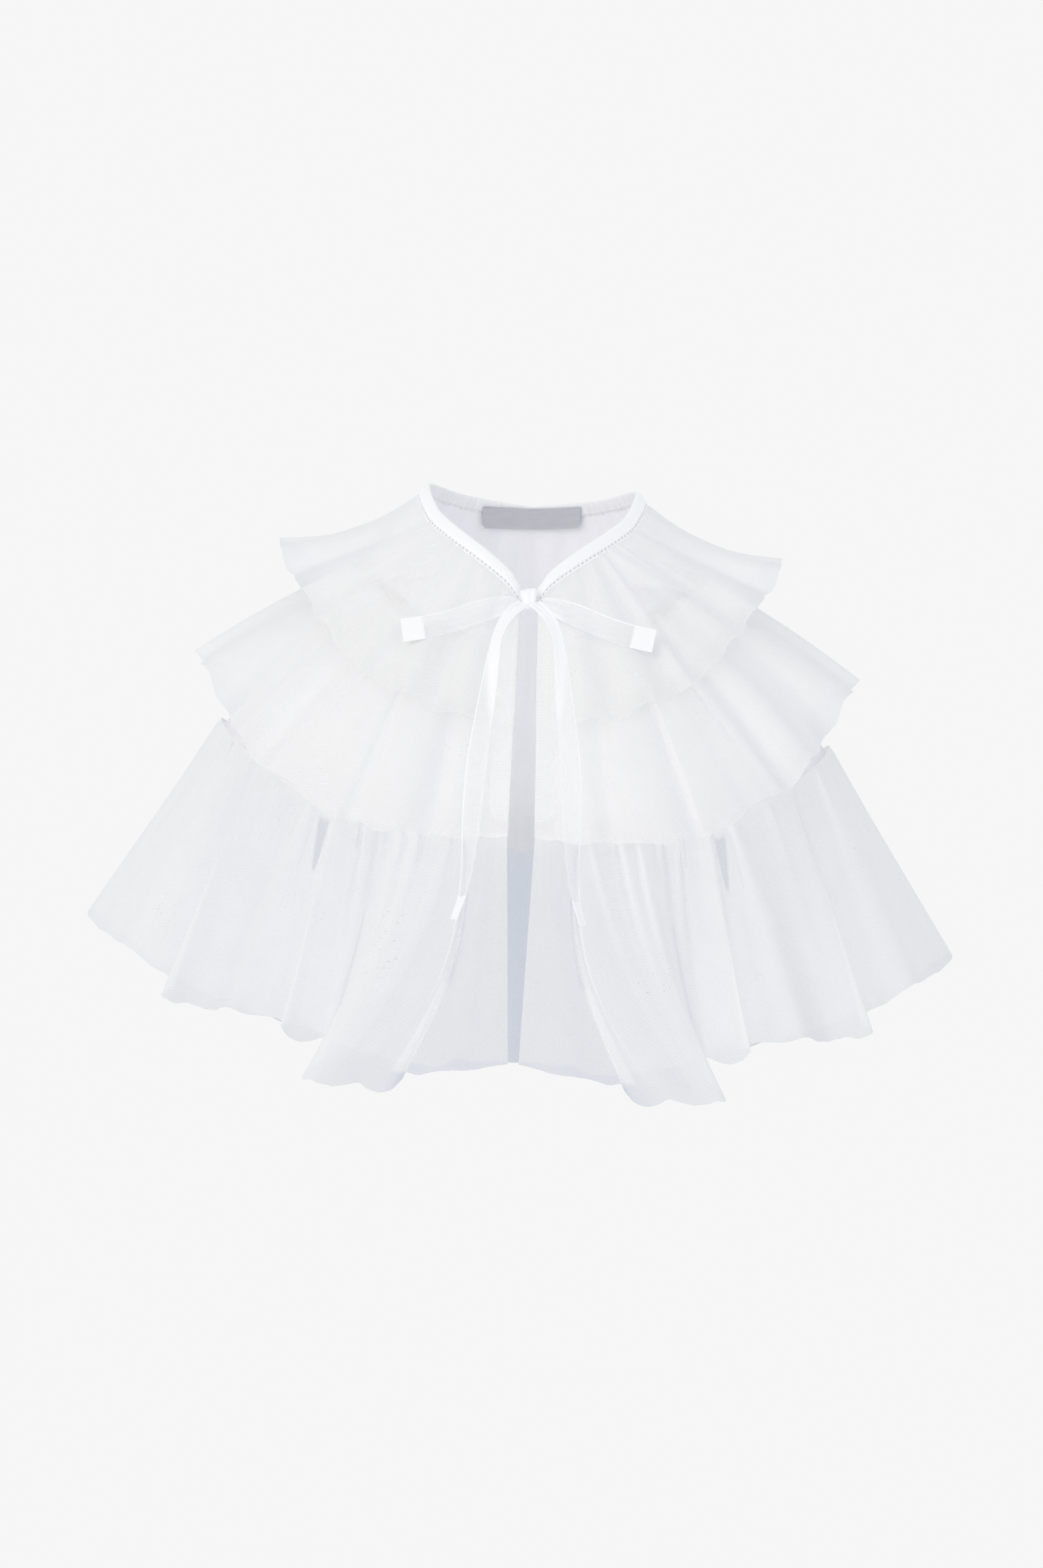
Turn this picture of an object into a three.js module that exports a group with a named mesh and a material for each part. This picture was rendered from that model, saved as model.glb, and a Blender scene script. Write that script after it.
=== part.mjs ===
// Layered net collar: a shoulder cape of three gathered tiers on a lining, tied at the neck.
// Millimetres, +Z up, the front faces -Y. The origin is the middle of the neck opening, level with
// the highest points of the neckline at the sides.
import * as THREE from 'three';

// Cloth
const WALL = 1.0;
const SEAM_GAP = 0.3;
const EDGE_GAP = 0.5;
const STEP_OUT = WALL + SEAM_GAP;

// Neck binding: a folded satin band
const BINDING_WIDTH = 8.0;
const BINDING_THICK = 3.0;
const BINDING_SIDES = 8;
const BINDING_START = 5.2;
const BINDING_STEPS = 22;

// Where each tier is sewn to the base cape, as a share of the way from neckline to lower edge
const MIDDLE_SEAM = [
  { azimuth: 0, share: 0.3 },
  { azimuth: 90, share: 0.3 },
  { azimuth: 180, share: 0.4 },
];
const BOTTOM_SEAM = 0.992;

// Half width of the front opening at the neckline and at the base cape's lower edge
const OPENING_TOP = 5.4;
const OPENING_LOW = 8.2;

// Strips over the front edges of the tiers, and how far they stand off the base cape
const FACING_STAND = 7.2;
const FACING_WIDTH = 11.0;
const FACING_END = 0.96;
const FACING_ROUND = 9.0;

// Label at the back neck
const LABEL_WIDTH = 62.0;
const LABEL_HEIGHT = 13.5;
const LABEL_TOP = 1.5;
const LABEL_TILT = 0.045;

// Tie
const RIBBON_WALL = 1.0;
const KNOT = { across: 6.6, deep: 5.0, high: 6.6, waist: 0.16, y: -71.5, z: -71.5 };

// Rings round the body. Azimuth is in degrees, 0 at the front centre and 180 at the back centre.
// A point of a ring lies at x = across * sin(azimuth), y = -along * cos(azimuth), z = height.
const NECKLINE = [
  { azimuth: 0, across: 66, along: 62, height: -66 },
  { azimuth: 10, across: 66, along: 62, height: -60.5 },
  { azimuth: 32, across: 66, along: 61, height: -46 },
  { azimuth: 60, across: 66, along: 60, height: -31 },
  { azimuth: 76, across: 66, along: 58, height: -17 },
  { azimuth: 90, across: 66, along: 57, height: -1 },
  { azimuth: 112, across: 66, along: 56, height: 1 },
  { azimuth: 138, across: 66, along: 55, height: -2.5 },
  { azimuth: 180, across: 66, along: 55, height: -7.5 },
];
const BASE_EDGE = [
  { azimuth: 0, across: 188, along: 112, height: -214 },
  { azimuth: 12, across: 188, along: 112, height: -215 },
  { azimuth: 25, across: 188, along: 112, height: -212 },
  { azimuth: 41, across: 188, along: 112, height: -200 },
  { azimuth: 60, across: 188, along: 113, height: -176 },
  { azimuth: 90, across: 188, along: 118, height: -152 },
  { azimuth: 120, across: 186, along: 126, height: -172 },
  { azimuth: 150, across: 182, along: 128, height: -212 },
  { azimuth: 180, across: 182, along: 128, height: -226 },
];
const TOP_HEM = [
  { azimuth: 0, across: 157, along: 99.5, height: -148 },
  { azimuth: 7, across: 157, along: 100.5, height: -147 },
  { azimuth: 9, across: 157, along: 103, height: -147 },
  { azimuth: 16, across: 157, along: 115, height: -144 },
  { azimuth: 27, across: 157, along: 121, height: -135 },
  { azimuth: 42, across: 157, along: 124, height: -114 },
  { azimuth: 53, across: 157, along: 124, height: -89 },
  { azimuth: 64, across: 157, along: 123, height: -66 },
  { azimuth: 76, across: 157, along: 122, height: -48 },
  { azimuth: 90, across: 157, along: 121, height: -34 },
  { azimuth: 110, across: 157, along: 122, height: -37 },
  { azimuth: 135, across: 156, along: 124, height: -65 },
  { azimuth: 160, across: 155, along: 123, height: -93 },
  { azimuth: 180, across: 155, along: 122, height: -102 },
];
const MIDDLE_HEM = [
  { azimuth: 0, across: 209, along: 112.5, height: -205 },
  { azimuth: 6, across: 209, along: 114, height: -208 },
  { azimuth: 13, across: 209, along: 130, height: -212 },
  { azimuth: 25, across: 209, along: 145, height: -208 },
  { azimuth: 38, across: 209, along: 151, height: -194 },
  { azimuth: 50, across: 209, along: 152, height: -172 },
  { azimuth: 61, across: 209, along: 152, height: -148 },
  { azimuth: 69, across: 209, along: 152, height: -127 },
  { azimuth: 79, across: 209, along: 152, height: -117 },
  { azimuth: 90, across: 209, along: 153, height: -112 },
  { azimuth: 112, across: 208, along: 158, height: -123 },
  { azimuth: 138, across: 206, along: 161, height: -166 },
  { azimuth: 162, across: 204, along: 160, height: -207 },
  { azimuth: 180, across: 204, along: 158, height: -218 },
];
const BOTTOM_HEM = [
  { azimuth: 0, across: 264, along: 170, height: -348 },
  { azimuth: 14, across: 264, along: 175, height: -353 },
  { azimuth: 27, across: 264, along: 178, height: -343 },
  { azimuth: 41, across: 264, along: 178, height: -326 },
  { azimuth: 50, across: 264, along: 178, height: -312 },
  { azimuth: 59, across: 264, along: 178, height: -293 },
  { azimuth: 72, across: 264, along: 179, height: -281 },
  { azimuth: 90, across: 264, along: 181, height: -271 },
  { azimuth: 112, across: 264, along: 186, height: -289 },
  { azimuth: 138, across: 262, along: 190, height: -342 },
  { azimuth: 162, across: 260, along: 192, height: -369 },
  { azimuth: 180, across: 260, along: 192, height: -374 },
];

// How far each cloth bows out (or, below zero, dips in) between its two edges
const BASE_BOW = [
  { azimuth: 0, bow: 5 },
  { azimuth: 50, bow: 3 },
  { azimuth: 90, bow: 0 },
  { azimuth: 130, bow: 12 },
  { azimuth: 180, bow: 19 },
];
const TOP_BOW = [
  { azimuth: 0, bow: 2 },
  { azimuth: 45, bow: 2 },
  { azimuth: 70, bow: -4 },
  { azimuth: 90, bow: -8 },
  { azimuth: 120, bow: -1 },
  { azimuth: 180, bow: 5 },
];
const MIDDLE_BOW = [
  { azimuth: 0, bow: 1.5 },
  { azimuth: 45, bow: 7 },
  { azimuth: 90, bow: 6 },
  { azimuth: 180, bow: 9 },
];
const BOTTOM_BOW = [
  { azimuth: 0, bow: 5 },
  { azimuth: 60, bow: 2 },
  { azimuth: 90, bow: 0 },
  { azimuth: 180, bow: 6 },
];

// Fold lines of the gathered tiers over the front half. A fold leaves the seam at one azimuth and
// reaches the hem at another. There it stands out from the ring by `out` and hangs lower by `drop`.
const TOP_FOLDS = [
  { seam: 4.5, hem: 2.3, out: 0, drop: 0 },
  { seam: 15.5, hem: 7.6, out: 0, drop: 0 },
  { seam: 19, hem: 15, out: 5, drop: 0 },
  { seam: 24, hem: 24, out: -1, drop: 0 },
  { seam: 29, hem: 32, out: 6, drop: 0 },
  { seam: 36, hem: 39, out: -5, drop: 0 },
  { seam: 42, hem: 45, out: 8, drop: 2 },
  { seam: 46, hem: 49.5, out: -9, drop: -1 },
  { seam: 50, hem: 55, out: 8, drop: 2 },
  { seam: 58, hem: 62, out: -5, drop: 0 },
  { seam: 66, hem: 70, out: 5, drop: 0 },
  { seam: 74, hem: 78, out: -5, drop: 0 },
  { seam: 82, hem: 86, out: 5, drop: 0 },
];
const MIDDLE_FOLDS = [
  { seam: 3.3, hem: 2.1, out: 0, drop: 0 },
  { seam: 10.8, hem: 5.8, out: 0, drop: 0 },
  { seam: 13.5, hem: 11, out: 2, drop: 0 },
  { seam: 17.5, hem: 17, out: -4, drop: 0 },
  { seam: 22, hem: 24, out: 8, drop: 1 },
  { seam: 29, hem: 29.5, out: -11, drop: -1 },
  { seam: 34, hem: 35, out: 9, drop: 1 },
  { seam: 40, hem: 42, out: 6, drop: 0 },
  { seam: 46, hem: 47.5, out: -10, drop: -2 },
  { seam: 51, hem: 53, out: 8, drop: 2 },
  { seam: 57, hem: 59, out: -6, drop: 0 },
  { seam: 64, hem: 66, out: 8, drop: 1 },
  { seam: 71, hem: 73, out: -6, drop: 0 },
  { seam: 79, hem: 81, out: 4, drop: 0 },
];
const BOTTOM_FOLDS = [
  { seam: 2.54, hem: 0.65, out: 0, drop: 0 },
  { seam: 6, hem: 6, out: 5, drop: 0 },
  { seam: 10, hem: 12.5, out: -9, drop: 2 },
  { seam: 13, hem: 15.5, out: 12, drop: 18 },
  { seam: 17.5, hem: 21, out: 20, drop: 22 },
  { seam: 22, hem: 26.5, out: 13, drop: 20 },
  { seam: 24.5, hem: 25.2, out: -9, drop: -2 },
  { seam: 28, hem: 30.5, out: 9, drop: 0 },
  { seam: 31, hem: 31, out: -8, drop: -4 },
  { seam: 36, hem: 40, out: 2, drop: 0 },
  { seam: 42, hem: 50, out: 14, drop: 5 },
  { seam: 46, hem: 50, out: -10, drop: -5 },
  { seam: 53, hem: 58, out: -6, drop: -2 },
  { seam: 63, hem: 69, out: 9, drop: 0 },
  { seam: 74, hem: 78, out: 2, drop: 0 },
  { seam: 82, hem: 87, out: 8, drop: 0 },
];

// Even folds round the back: first and last azimuth of their fold lines, how many, how deep
const TOP_BACK = { from: 90, to: 180, count: 12, out: 6 };
const MIDDLE_BACK = { from: 87, to: 180, count: 14, out: 8 };
const BOTTOM_BACK = { from: 91, to: 180, count: 14, out: 11 };

// Steps along each cloth: columns for each fold line, and rows from seam to hem
const COLUMNS_PER_FOLD = 2;
const BASE_COLUMNS = 22;
const BASE_ROWS = [0, 0.18, 0.4, 0.62, 0.82, 1];
const SHORT_ROWS = [0, 0.2, 0.45, 0.72, 1];
const LONG_ROWS = [0, 0.15, 0.35, 0.57, 0.79, 1];

// Tie ribbons, as rows down the middle of each. `turn` is how far the ribbon's face turns away from
// the front, in degrees. The rows are for +X, and the other side mirrors them.
const TIE_END_PATH = [
  { x: 7.0, y: -75.0, z: -73.5, width: 7, turn: 20 },
  { x: 16, y: -80, z: -76, width: 11, turn: 12 },
  { x: 29, y: -85.5, z: -80.8, width: 13.7, turn: 6 },
  { x: 46, y: -90.5, z: -87.2, width: 13.7, turn: 4 },
  { x: 62, y: -94.5, z: -91.8, width: 13.7, turn: 0 },
  { x: 75.5, y: -95, z: -94.2, width: 13.7, turn: -2 },
];
const TIE_TAIL_PATH = [
  { x: 5.2, y: -77.2, z: -79.4, width: 5, turn: 40 },
  { x: 14.2, y: -86.5, z: -86.5, width: 5.5, turn: 34 },
  { x: 18.5, y: -96, z: -97, width: 6.5, turn: 26 },
  { x: 20.5, y: -105, z: -110, width: 8, turn: 20 },
  { x: 22.6, y: -114, z: -128, width: 10, turn: 16 },
  { x: 25.2, y: -124, z: -150, width: 11.5, turn: 12 },
  { x: 27.6, y: -133, z: -173, width: 12.5, turn: 14 },
  { x: 29, y: -140, z: -196, width: 12.5, turn: 24 },
  { x: 30.2, y: -146, z: -217, width: 12.5, turn: 42 },
  { x: 31.6, y: -150, z: -237, width: 12.5, turn: 60 },
  { x: 34, y: -153, z: -251, width: 12.5, turn: 70 },
  { x: 37.8, y: -155, z: -264, width: 12.5, turn: 74 },
];

const DEGREE = Math.PI / 180;
const BACK_CENTRE = 180;

// One column of a table, read smoothly at any azimuth
function smoothColumn(rows, key, name) {
  return (at) => {
    const last = rows.length - 1;
    let k = 0;
    while (k < last - 1 && at > rows[k + 1][key]) k += 1;
    const slope = (i) => {
      const low = rows[Math.max(i - 1, 0)];
      const high = rows[Math.min(i + 1, last)];
      return (high[name] - low[name]) / (high[key] - low[key]);
    };
    const span = rows[k + 1][key] - rows[k][key];
    const t = THREE.MathUtils.clamp((at - rows[k][key]) / span, 0, 1);
    const t2 = t * t;
    const t3 = t2 * t;
    const keepStart = 2 * t3 - 3 * t2 + 1;
    const keepEnd = 3 * t2 - 2 * t3;
    const leave = (t3 - 2 * t2 + t) * span * slope(k);
    const arrive = (t3 - t2) * span * slope(k + 1);
    return keepStart * rows[k][name] + keepEnd * rows[k + 1][name] + leave + arrive;
  };
}

function ring(rows) {
  const across = smoothColumn(rows, 'azimuth', 'across');
  const along = smoothColumn(rows, 'azimuth', 'along');
  const height = smoothColumn(rows, 'azimuth', 'height');
  return (azimuth) => {
    const angle = azimuth * DEGREE;
    const x = across(azimuth) * Math.sin(angle);
    const y = -along(azimuth) * Math.cos(angle);
    return new THREE.Vector3(x, y, height(azimuth));
  };
}

// Direction that points out of a cloth at one place of its ring, square to the way down
function outOf(ringAt, azimuth, down) {
  const nudge = 0.5;
  const before = ringAt(Math.max(azimuth - nudge, 0));
  const after = ringAt(Math.min(azimuth + nudge, BACK_CENTRE));
  return down.clone().cross(after.sub(before)).normalize();
}

const necklineAt = ring(NECKLINE);
const baseEdgeAt = ring(BASE_EDGE);
const baseBow = smoothColumn(BASE_BOW, 'azimuth', 'bow');

// Middle of the base cape's wall, or a cloth that stands off it, at a share of the way down
function basePoint(azimuth, share, standOff = 0) {
  const neck = necklineAt(azimuth);
  const edge = baseEdgeAt(azimuth);
  const down = edge.clone().sub(neck);
  const out = outOf(baseEdgeAt, azimuth, down.clone().normalize());
  const bow = baseBow(azimuth) * Math.sin(Math.PI * share);
  return neck.addScaledVector(down, share).addScaledVector(out, bow + standOff);
}

// Share of the way down at a distance below the top of the neckline
function shareBelow(azimuth, distance) {
  return distance / necklineAt(azimuth).distanceTo(baseEdgeAt(azimuth));
}

// Azimuth of the front edge of the base cape at a share of the way down
function frontAzimuth(share, beyond = 0) {
  const half = THREE.MathUtils.lerp(OPENING_TOP, OPENING_LOW, share) + beyond;
  const across = THREE.MathUtils.lerp(NECKLINE[0].across, BASE_EDGE[0].across, share);
  return Math.asin(half / across) / DEGREE;
}

// A closed solid from a grid of points on the middle of a wall, with columns from left to right
// as seen from outside and rows from the top down
function wallFromGrid(grid, wall) {
  const columns = grid.length;
  const rows = grid[0].length;
  const positions = [];
  const index = [];
  const number = (side, i, j) => side * columns * rows + i * rows + j;
  for (const side of [1, -1]) {
    for (let i = 0; i < columns; i += 1) {
      for (let j = 0; j < rows; j += 1) {
        const left = grid[Math.max(i - 1, 0)][j];
        const right = grid[Math.min(i + 1, columns - 1)][j];
        const above = grid[i][Math.max(j - 1, 0)];
        const below = grid[i][Math.min(j + 1, rows - 1)];
        const across = right.clone().sub(left);
        const down = below.clone().sub(above);
        const out = down.cross(across).normalize();
        const point = grid[i][j].clone().addScaledVector(out, (side * wall) / 2);
        positions.push(point.x, point.y, point.z);
      }
    }
  }
  const quad = (a, b, c, d) => index.push(a, b, c, a, c, d);
  for (let i = 0; i < columns - 1; i += 1) {
    for (let j = 0; j < rows - 1; j += 1) {
      quad(number(0, i, j), number(0, i, j + 1), number(0, i + 1, j + 1), number(0, i + 1, j));
      quad(number(1, i, j), number(1, i + 1, j), number(1, i + 1, j + 1), number(1, i, j + 1));
    }
    const end = rows - 1;
    quad(number(0, i, 0), number(0, i + 1, 0), number(1, i + 1, 0), number(1, i, 0));
    quad(number(0, i, end), number(1, i, end), number(1, i + 1, end), number(0, i + 1, end));
  }
  for (let j = 0; j < rows - 1; j += 1) {
    const end = columns - 1;
    quad(number(0, 0, j), number(1, 0, j), number(1, 0, j + 1), number(0, 0, j + 1));
    quad(number(0, end, j), number(0, end, j + 1), number(1, end, j + 1), number(1, end, j));
  }
  return closedGeometry(positions, index);
}

// A closed solid from rings of points, with flat ends
function sweepFromSections(sections) {
  const sides = sections[0].length;
  const positions = [];
  const index = [];
  for (const section of sections) {
    for (const point of section) positions.push(point.x, point.y, point.z);
  }
  for (let i = 0; i < sections.length - 1; i += 1) {
    for (let k = 0; k < sides; k += 1) {
      const next = (k + 1) % sides;
      const a = i * sides + k;
      const b = i * sides + next;
      const c = (i + 1) * sides + next;
      const d = (i + 1) * sides + k;
      index.push(a, b, c, a, c, d);
    }
  }
  const last = (sections.length - 1) * sides;
  for (let k = 1; k < sides - 1; k += 1) {
    index.push(0, k + 1, k, last, last + k, last + k + 1);
  }
  return closedGeometry(positions, index);
}

function closedGeometry(positions, index) {
  const geometry = new THREE.BufferGeometry();
  geometry.setAttribute('position', new THREE.Float32BufferAttribute(positions, 3));
  geometry.setIndex(index);
  geometry.computeVertexNormals();
  return geometry;
}

// Both halves of a cloth from one half's columns, which run from the front edge to the back centre
function bothHalves(half) {
  const mirrored = half.map((column) => column.map((p) => new THREE.Vector3(-p.x, p.y, p.z)));
  return [...half.slice(0, -1), ...mirrored.reverse()];
}

function baseCape() {
  const half = [];
  for (let i = 0; i <= BASE_COLUMNS; i += 1) {
    const round = i / BASE_COLUMNS;
    half.push(BASE_ROWS.map((row) => {
      const edge = frontAzimuth(row);
      const azimuth = edge + (BACK_CENTRE - edge) * round;
      const top = shareBelow(azimuth, BINDING_WIDTH + EDGE_GAP);
      return basePoint(azimuth, THREE.MathUtils.lerp(top, 1, row));
    }));
  }
  return wallFromGrid(bothHalves(half), WALL);
}

// Fold lines of one half: the front table, then even folds to the back centre
function allFolds(front, back) {
  const rows = front.map((row) => ({ ...row }));
  for (let i = 0; i <= back.count; i += 1) {
    const azimuth = THREE.MathUtils.lerp(back.from, back.to, i / back.count);
    const sign = i % 2 === 0 ? -1 : 1;
    rows.push({ seam: azimuth, hem: azimuth, out: sign * back.out, drop: 0 });
  }
  return rows.map((row, number) => ({ ...row, number }));
}

// A gathered tier: sewn to the base cape along one line and free at its hem
function ruffle({ seamShare, standOff, hemRing, bowRows, folds, rows }) {
  const hemAt = ring(hemRing);
  const bowAt = smoothColumn(bowRows, 'azimuth', 'bow');
  const columns = ['seam', 'hem', 'out', 'drop'].map((name) => smoothColumn(folds, 'number', name));
  const count = (folds.length - 1) * COLUMNS_PER_FOLD;
  const half = [];
  for (let i = 0; i <= count; i += 1) {
    const [seam, hem, out, drop] = columns.map((column) => column(i / COLUMNS_PER_FOLD));
    const top = basePoint(seam, seamShare(seam), standOff);
    const low = hemAt(hem);
    const down = low.clone().sub(top).normalize();
    const outward = outOf(hemAt, hem, down);
    const square = outOf(hemAt, seam, down);
    low.addScaledVector(outward, out).addScaledVector(down, drop);
    half.push(rows.map((row) => {
      const bow = bowAt(seam) * Math.sin(Math.PI * row);
      return top.clone().lerp(low, row).addScaledVector(square, bow);
    }));
  }
  half[half.length - 1].forEach((point) => point.setX(0));
  return wallFromGrid(bothHalves(half), WALL);
}

// The band that closes the neckline: a rounded section swept from one front edge to the other
function neckBinding() {
  const half = [];
  for (let i = 0; i <= BINDING_STEPS; i += 1) {
    const azimuth = THREE.MathUtils.lerp(BINDING_START, BACK_CENTRE, i / BINDING_STEPS);
    const top = basePoint(azimuth, 0, STEP_OUT / 2);
    const low = basePoint(azimuth, shareBelow(azimuth, BINDING_WIDTH), STEP_OUT / 2);
    const down = low.clone().sub(top).normalize();
    const out = outOf(baseEdgeAt, azimuth, down);
    const centre = top.lerp(low, 0.5);
    const section = [];
    for (let k = 0; k < BINDING_SIDES; k += 1) {
      const angle = ((k + 0.5) / BINDING_SIDES) * 2 * Math.PI;
      const reach = 1 / Math.cos(Math.PI / BINDING_SIDES);
      const low = Math.cos(angle) * reach * (BINDING_WIDTH / 2);
      const side = -Math.sin(angle) * reach * (BINDING_THICK / 2);
      section.push(centre.clone().addScaledVector(down, low).addScaledVector(out, side));
    }
    half.push(section);
  }
  half[half.length - 1].forEach((point) => point.setX(0));
  const mirrored = half.map((section) => section.map((p) => new THREE.Vector3(-p.x, p.y, p.z)));
  return sweepFromSections([...half.slice(0, -1), ...mirrored.reverse()]);
}

// A strip down one front edge, over the edges of the tiers, with a rounded lower corner
function frontFacing(side) {
  const grid = [];
  const acrossSteps = 4;
  const downSteps = 12;
  const top = shareBelow(0, BINDING_WIDTH + EDGE_GAP);
  for (let i = 0; i <= acrossSteps; i += 1) {
    const column = [];
    for (let j = 0; j <= downSteps; j += 1) {
      const beyond = (FACING_WIDTH * i) / acrossSteps;
      const round = FACING_ROUND - Math.sqrt(FACING_ROUND ** 2 - (beyond * FACING_ROUND / FACING_WIDTH) ** 2);
      const length = baseEdgeAt(0).distanceTo(necklineAt(0));
      const end = FACING_END - round / length;
      const share = THREE.MathUtils.lerp(top, end, j / downSteps);
      const standOff = THREE.MathUtils.lerp(2 * STEP_OUT + SEAM_GAP, FACING_STAND, Math.min(share * 4, 1));
      const point = basePoint(frontAzimuth(share, beyond), share, standOff);
      column.push(new THREE.Vector3(side * point.x, point.y, point.z));
    }
    grid.push(column);
  }
  if (side < 0) grid.reverse();
  return wallFromGrid(grid, WALL);
}

// Label on the inside of the back neck, curved with the neckline
function neckLabel() {
  const grid = [];
  const acrossSteps = 10;
  const downSteps = 2;
  for (let i = 0; i <= acrossSteps; i += 1) {
    const x = LABEL_WIDTH * (i / acrossSteps - 0.5);
    const column = [];
    for (let j = 0; j <= downSteps; j += 1) {
      const below = LABEL_TOP + (LABEL_HEIGHT * j) / downSteps - x * LABEL_TILT;
      const azimuth = BACK_CENTRE - Math.asin(Math.abs(x) / NECKLINE[0].across) / DEGREE;
      const inside = -(BINDING_THICK - STEP_OUT) / 2 - EDGE_GAP - WALL;
      const point = basePoint(azimuth, shareBelow(azimuth, below), inside);
      column.push(new THREE.Vector3(x, point.y, point.z));
    }
    grid.push(column);
  }
  return wallFromGrid(grid.reverse(), WALL);
}

// The knot: a small wrapped lump, narrower at its waist
function tieKnot() {
  const geometry = new THREE.SphereGeometry(1, 14, 10);
  const position = geometry.attributes.position;
  for (let i = 0; i < position.count; i += 1) {
    const x = position.getX(i);
    const y = position.getY(i);
    const z = position.getZ(i);
    const waist = 1 - KNOT.waist * Math.cos(y * Math.PI) * Math.abs(x);
    position.setXYZ(i, KNOT.across * x * waist, KNOT.deep * -z, KNOT.high * y * waist);
  }
  return geometry;
}

// A flat ribbon along its middle line
function ribbon(path, side) {
  const steps = 2 * (path.length - 1);
  const rows = path.map((row, number) => ({ ...row, number }));
  const names = ['x', 'y', 'z', 'width', 'turn'];
  const columns = names.map((name) => smoothColumn(rows, 'number', name));
  const at = (t) => columns.map((column) => column(t));
  const sections = [];
  for (let i = 0; i <= steps; i += 1) {
    const t = (i * (path.length - 1)) / steps;
    const [x, y, z, width, turn] = at(t);
    const [x0, y0, z0] = at(Math.max(t - 0.1, 0));
    const [x1, y1, z1] = at(Math.min(t + 0.1, path.length - 1));
    const along = new THREE.Vector3(x1 - x0, y1 - y0, z1 - z0).normalize();
    const flat = new THREE.Vector3(0, 1, 0).cross(along).normalize();
    const across = flat.applyAxisAngle(along, -turn * DEGREE);
    const face = across.clone().cross(along).normalize();
    const corners = [[1, -1], [-1, -1], [-1, 1], [1, 1]];
    sections.push(corners.map(([a, b]) => {
      const point = new THREE.Vector3(x, y, z);
      point.addScaledVector(across, (a * width) / 2).addScaledVector(face, (b * RIBBON_WALL) / 2);
      return new THREE.Vector3(side * point.x, point.y, point.z);
    }));
  }
  if (side < 0) sections.reverse();
  return sweepFromSections(sections);
}

const NET = new THREE.MeshStandardMaterial({ color: 0xf4f5f8, roughness: 0.85, metalness: 0 });
const LINING = new THREE.MeshStandardMaterial({ color: 0xe9e9ee, roughness: 0.8, metalness: 0 });
const SATIN = new THREE.MeshStandardMaterial({ color: 0xfbfbfd, roughness: 0.45, metalness: 0 });
const ORGANZA = new THREE.MeshStandardMaterial({ color: 0xf6f6f8, roughness: 0.6, metalness: 0 });
const LABEL_SATIN = new THREE.MeshStandardMaterial({ color: 0xb9babf, roughness: 0.5, metalness: 0 });

const collar = new THREE.Group();

function addPiece(name, geometry, material) {
  const mesh = new THREE.Mesh(geometry, material.clone());
  mesh.name = name;
  collar.add(mesh);
  return mesh;
}

const underBinding = (azimuth) => shareBelow(azimuth, BINDING_WIDTH + EDGE_GAP);

addPiece('base_cape', baseCape(), LINING);
addPiece('ruffle_top', ruffle({
  seamShare: underBinding,
  standOff: STEP_OUT,
  hemRing: TOP_HEM,
  bowRows: TOP_BOW,
  folds: allFolds(TOP_FOLDS, TOP_BACK),
  rows: SHORT_ROWS,
}), NET);
addPiece('ruffle_middle', ruffle({
  seamShare: smoothColumn(MIDDLE_SEAM, 'azimuth', 'share'),
  standOff: STEP_OUT,
  hemRing: MIDDLE_HEM,
  bowRows: MIDDLE_BOW,
  folds: allFolds(MIDDLE_FOLDS, MIDDLE_BACK),
  rows: SHORT_ROWS,
}), NET);
addPiece('ruffle_bottom', ruffle({
  seamShare: () => BOTTOM_SEAM,
  standOff: STEP_OUT + SEAM_GAP,
  hemRing: BOTTOM_HEM,
  bowRows: BOTTOM_BOW,
  folds: allFolds(BOTTOM_FOLDS, BOTTOM_BACK),
  rows: LONG_ROWS,
}), NET);
addPiece('neck_binding', neckBinding(), SATIN);
addPiece('neck_label', neckLabel(), LABEL_SATIN);

const knot = addPiece('tie_knot', tieKnot(), ORGANZA);
knot.position.set(0, KNOT.y, KNOT.z);

for (const [word, side] of [['left', -1], ['right', 1]]) {
  addPiece(`front_facing_${word}`, frontFacing(side), NET);
  addPiece(`tie_end_${word}`, ribbon(TIE_END_PATH, side), ORGANZA);
  addPiece(`tie_tail_${word}`, ribbon(TIE_TAIL_PATH, side), ORGANZA);
}

export default collar;
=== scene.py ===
import math
from functools import partial

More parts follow.
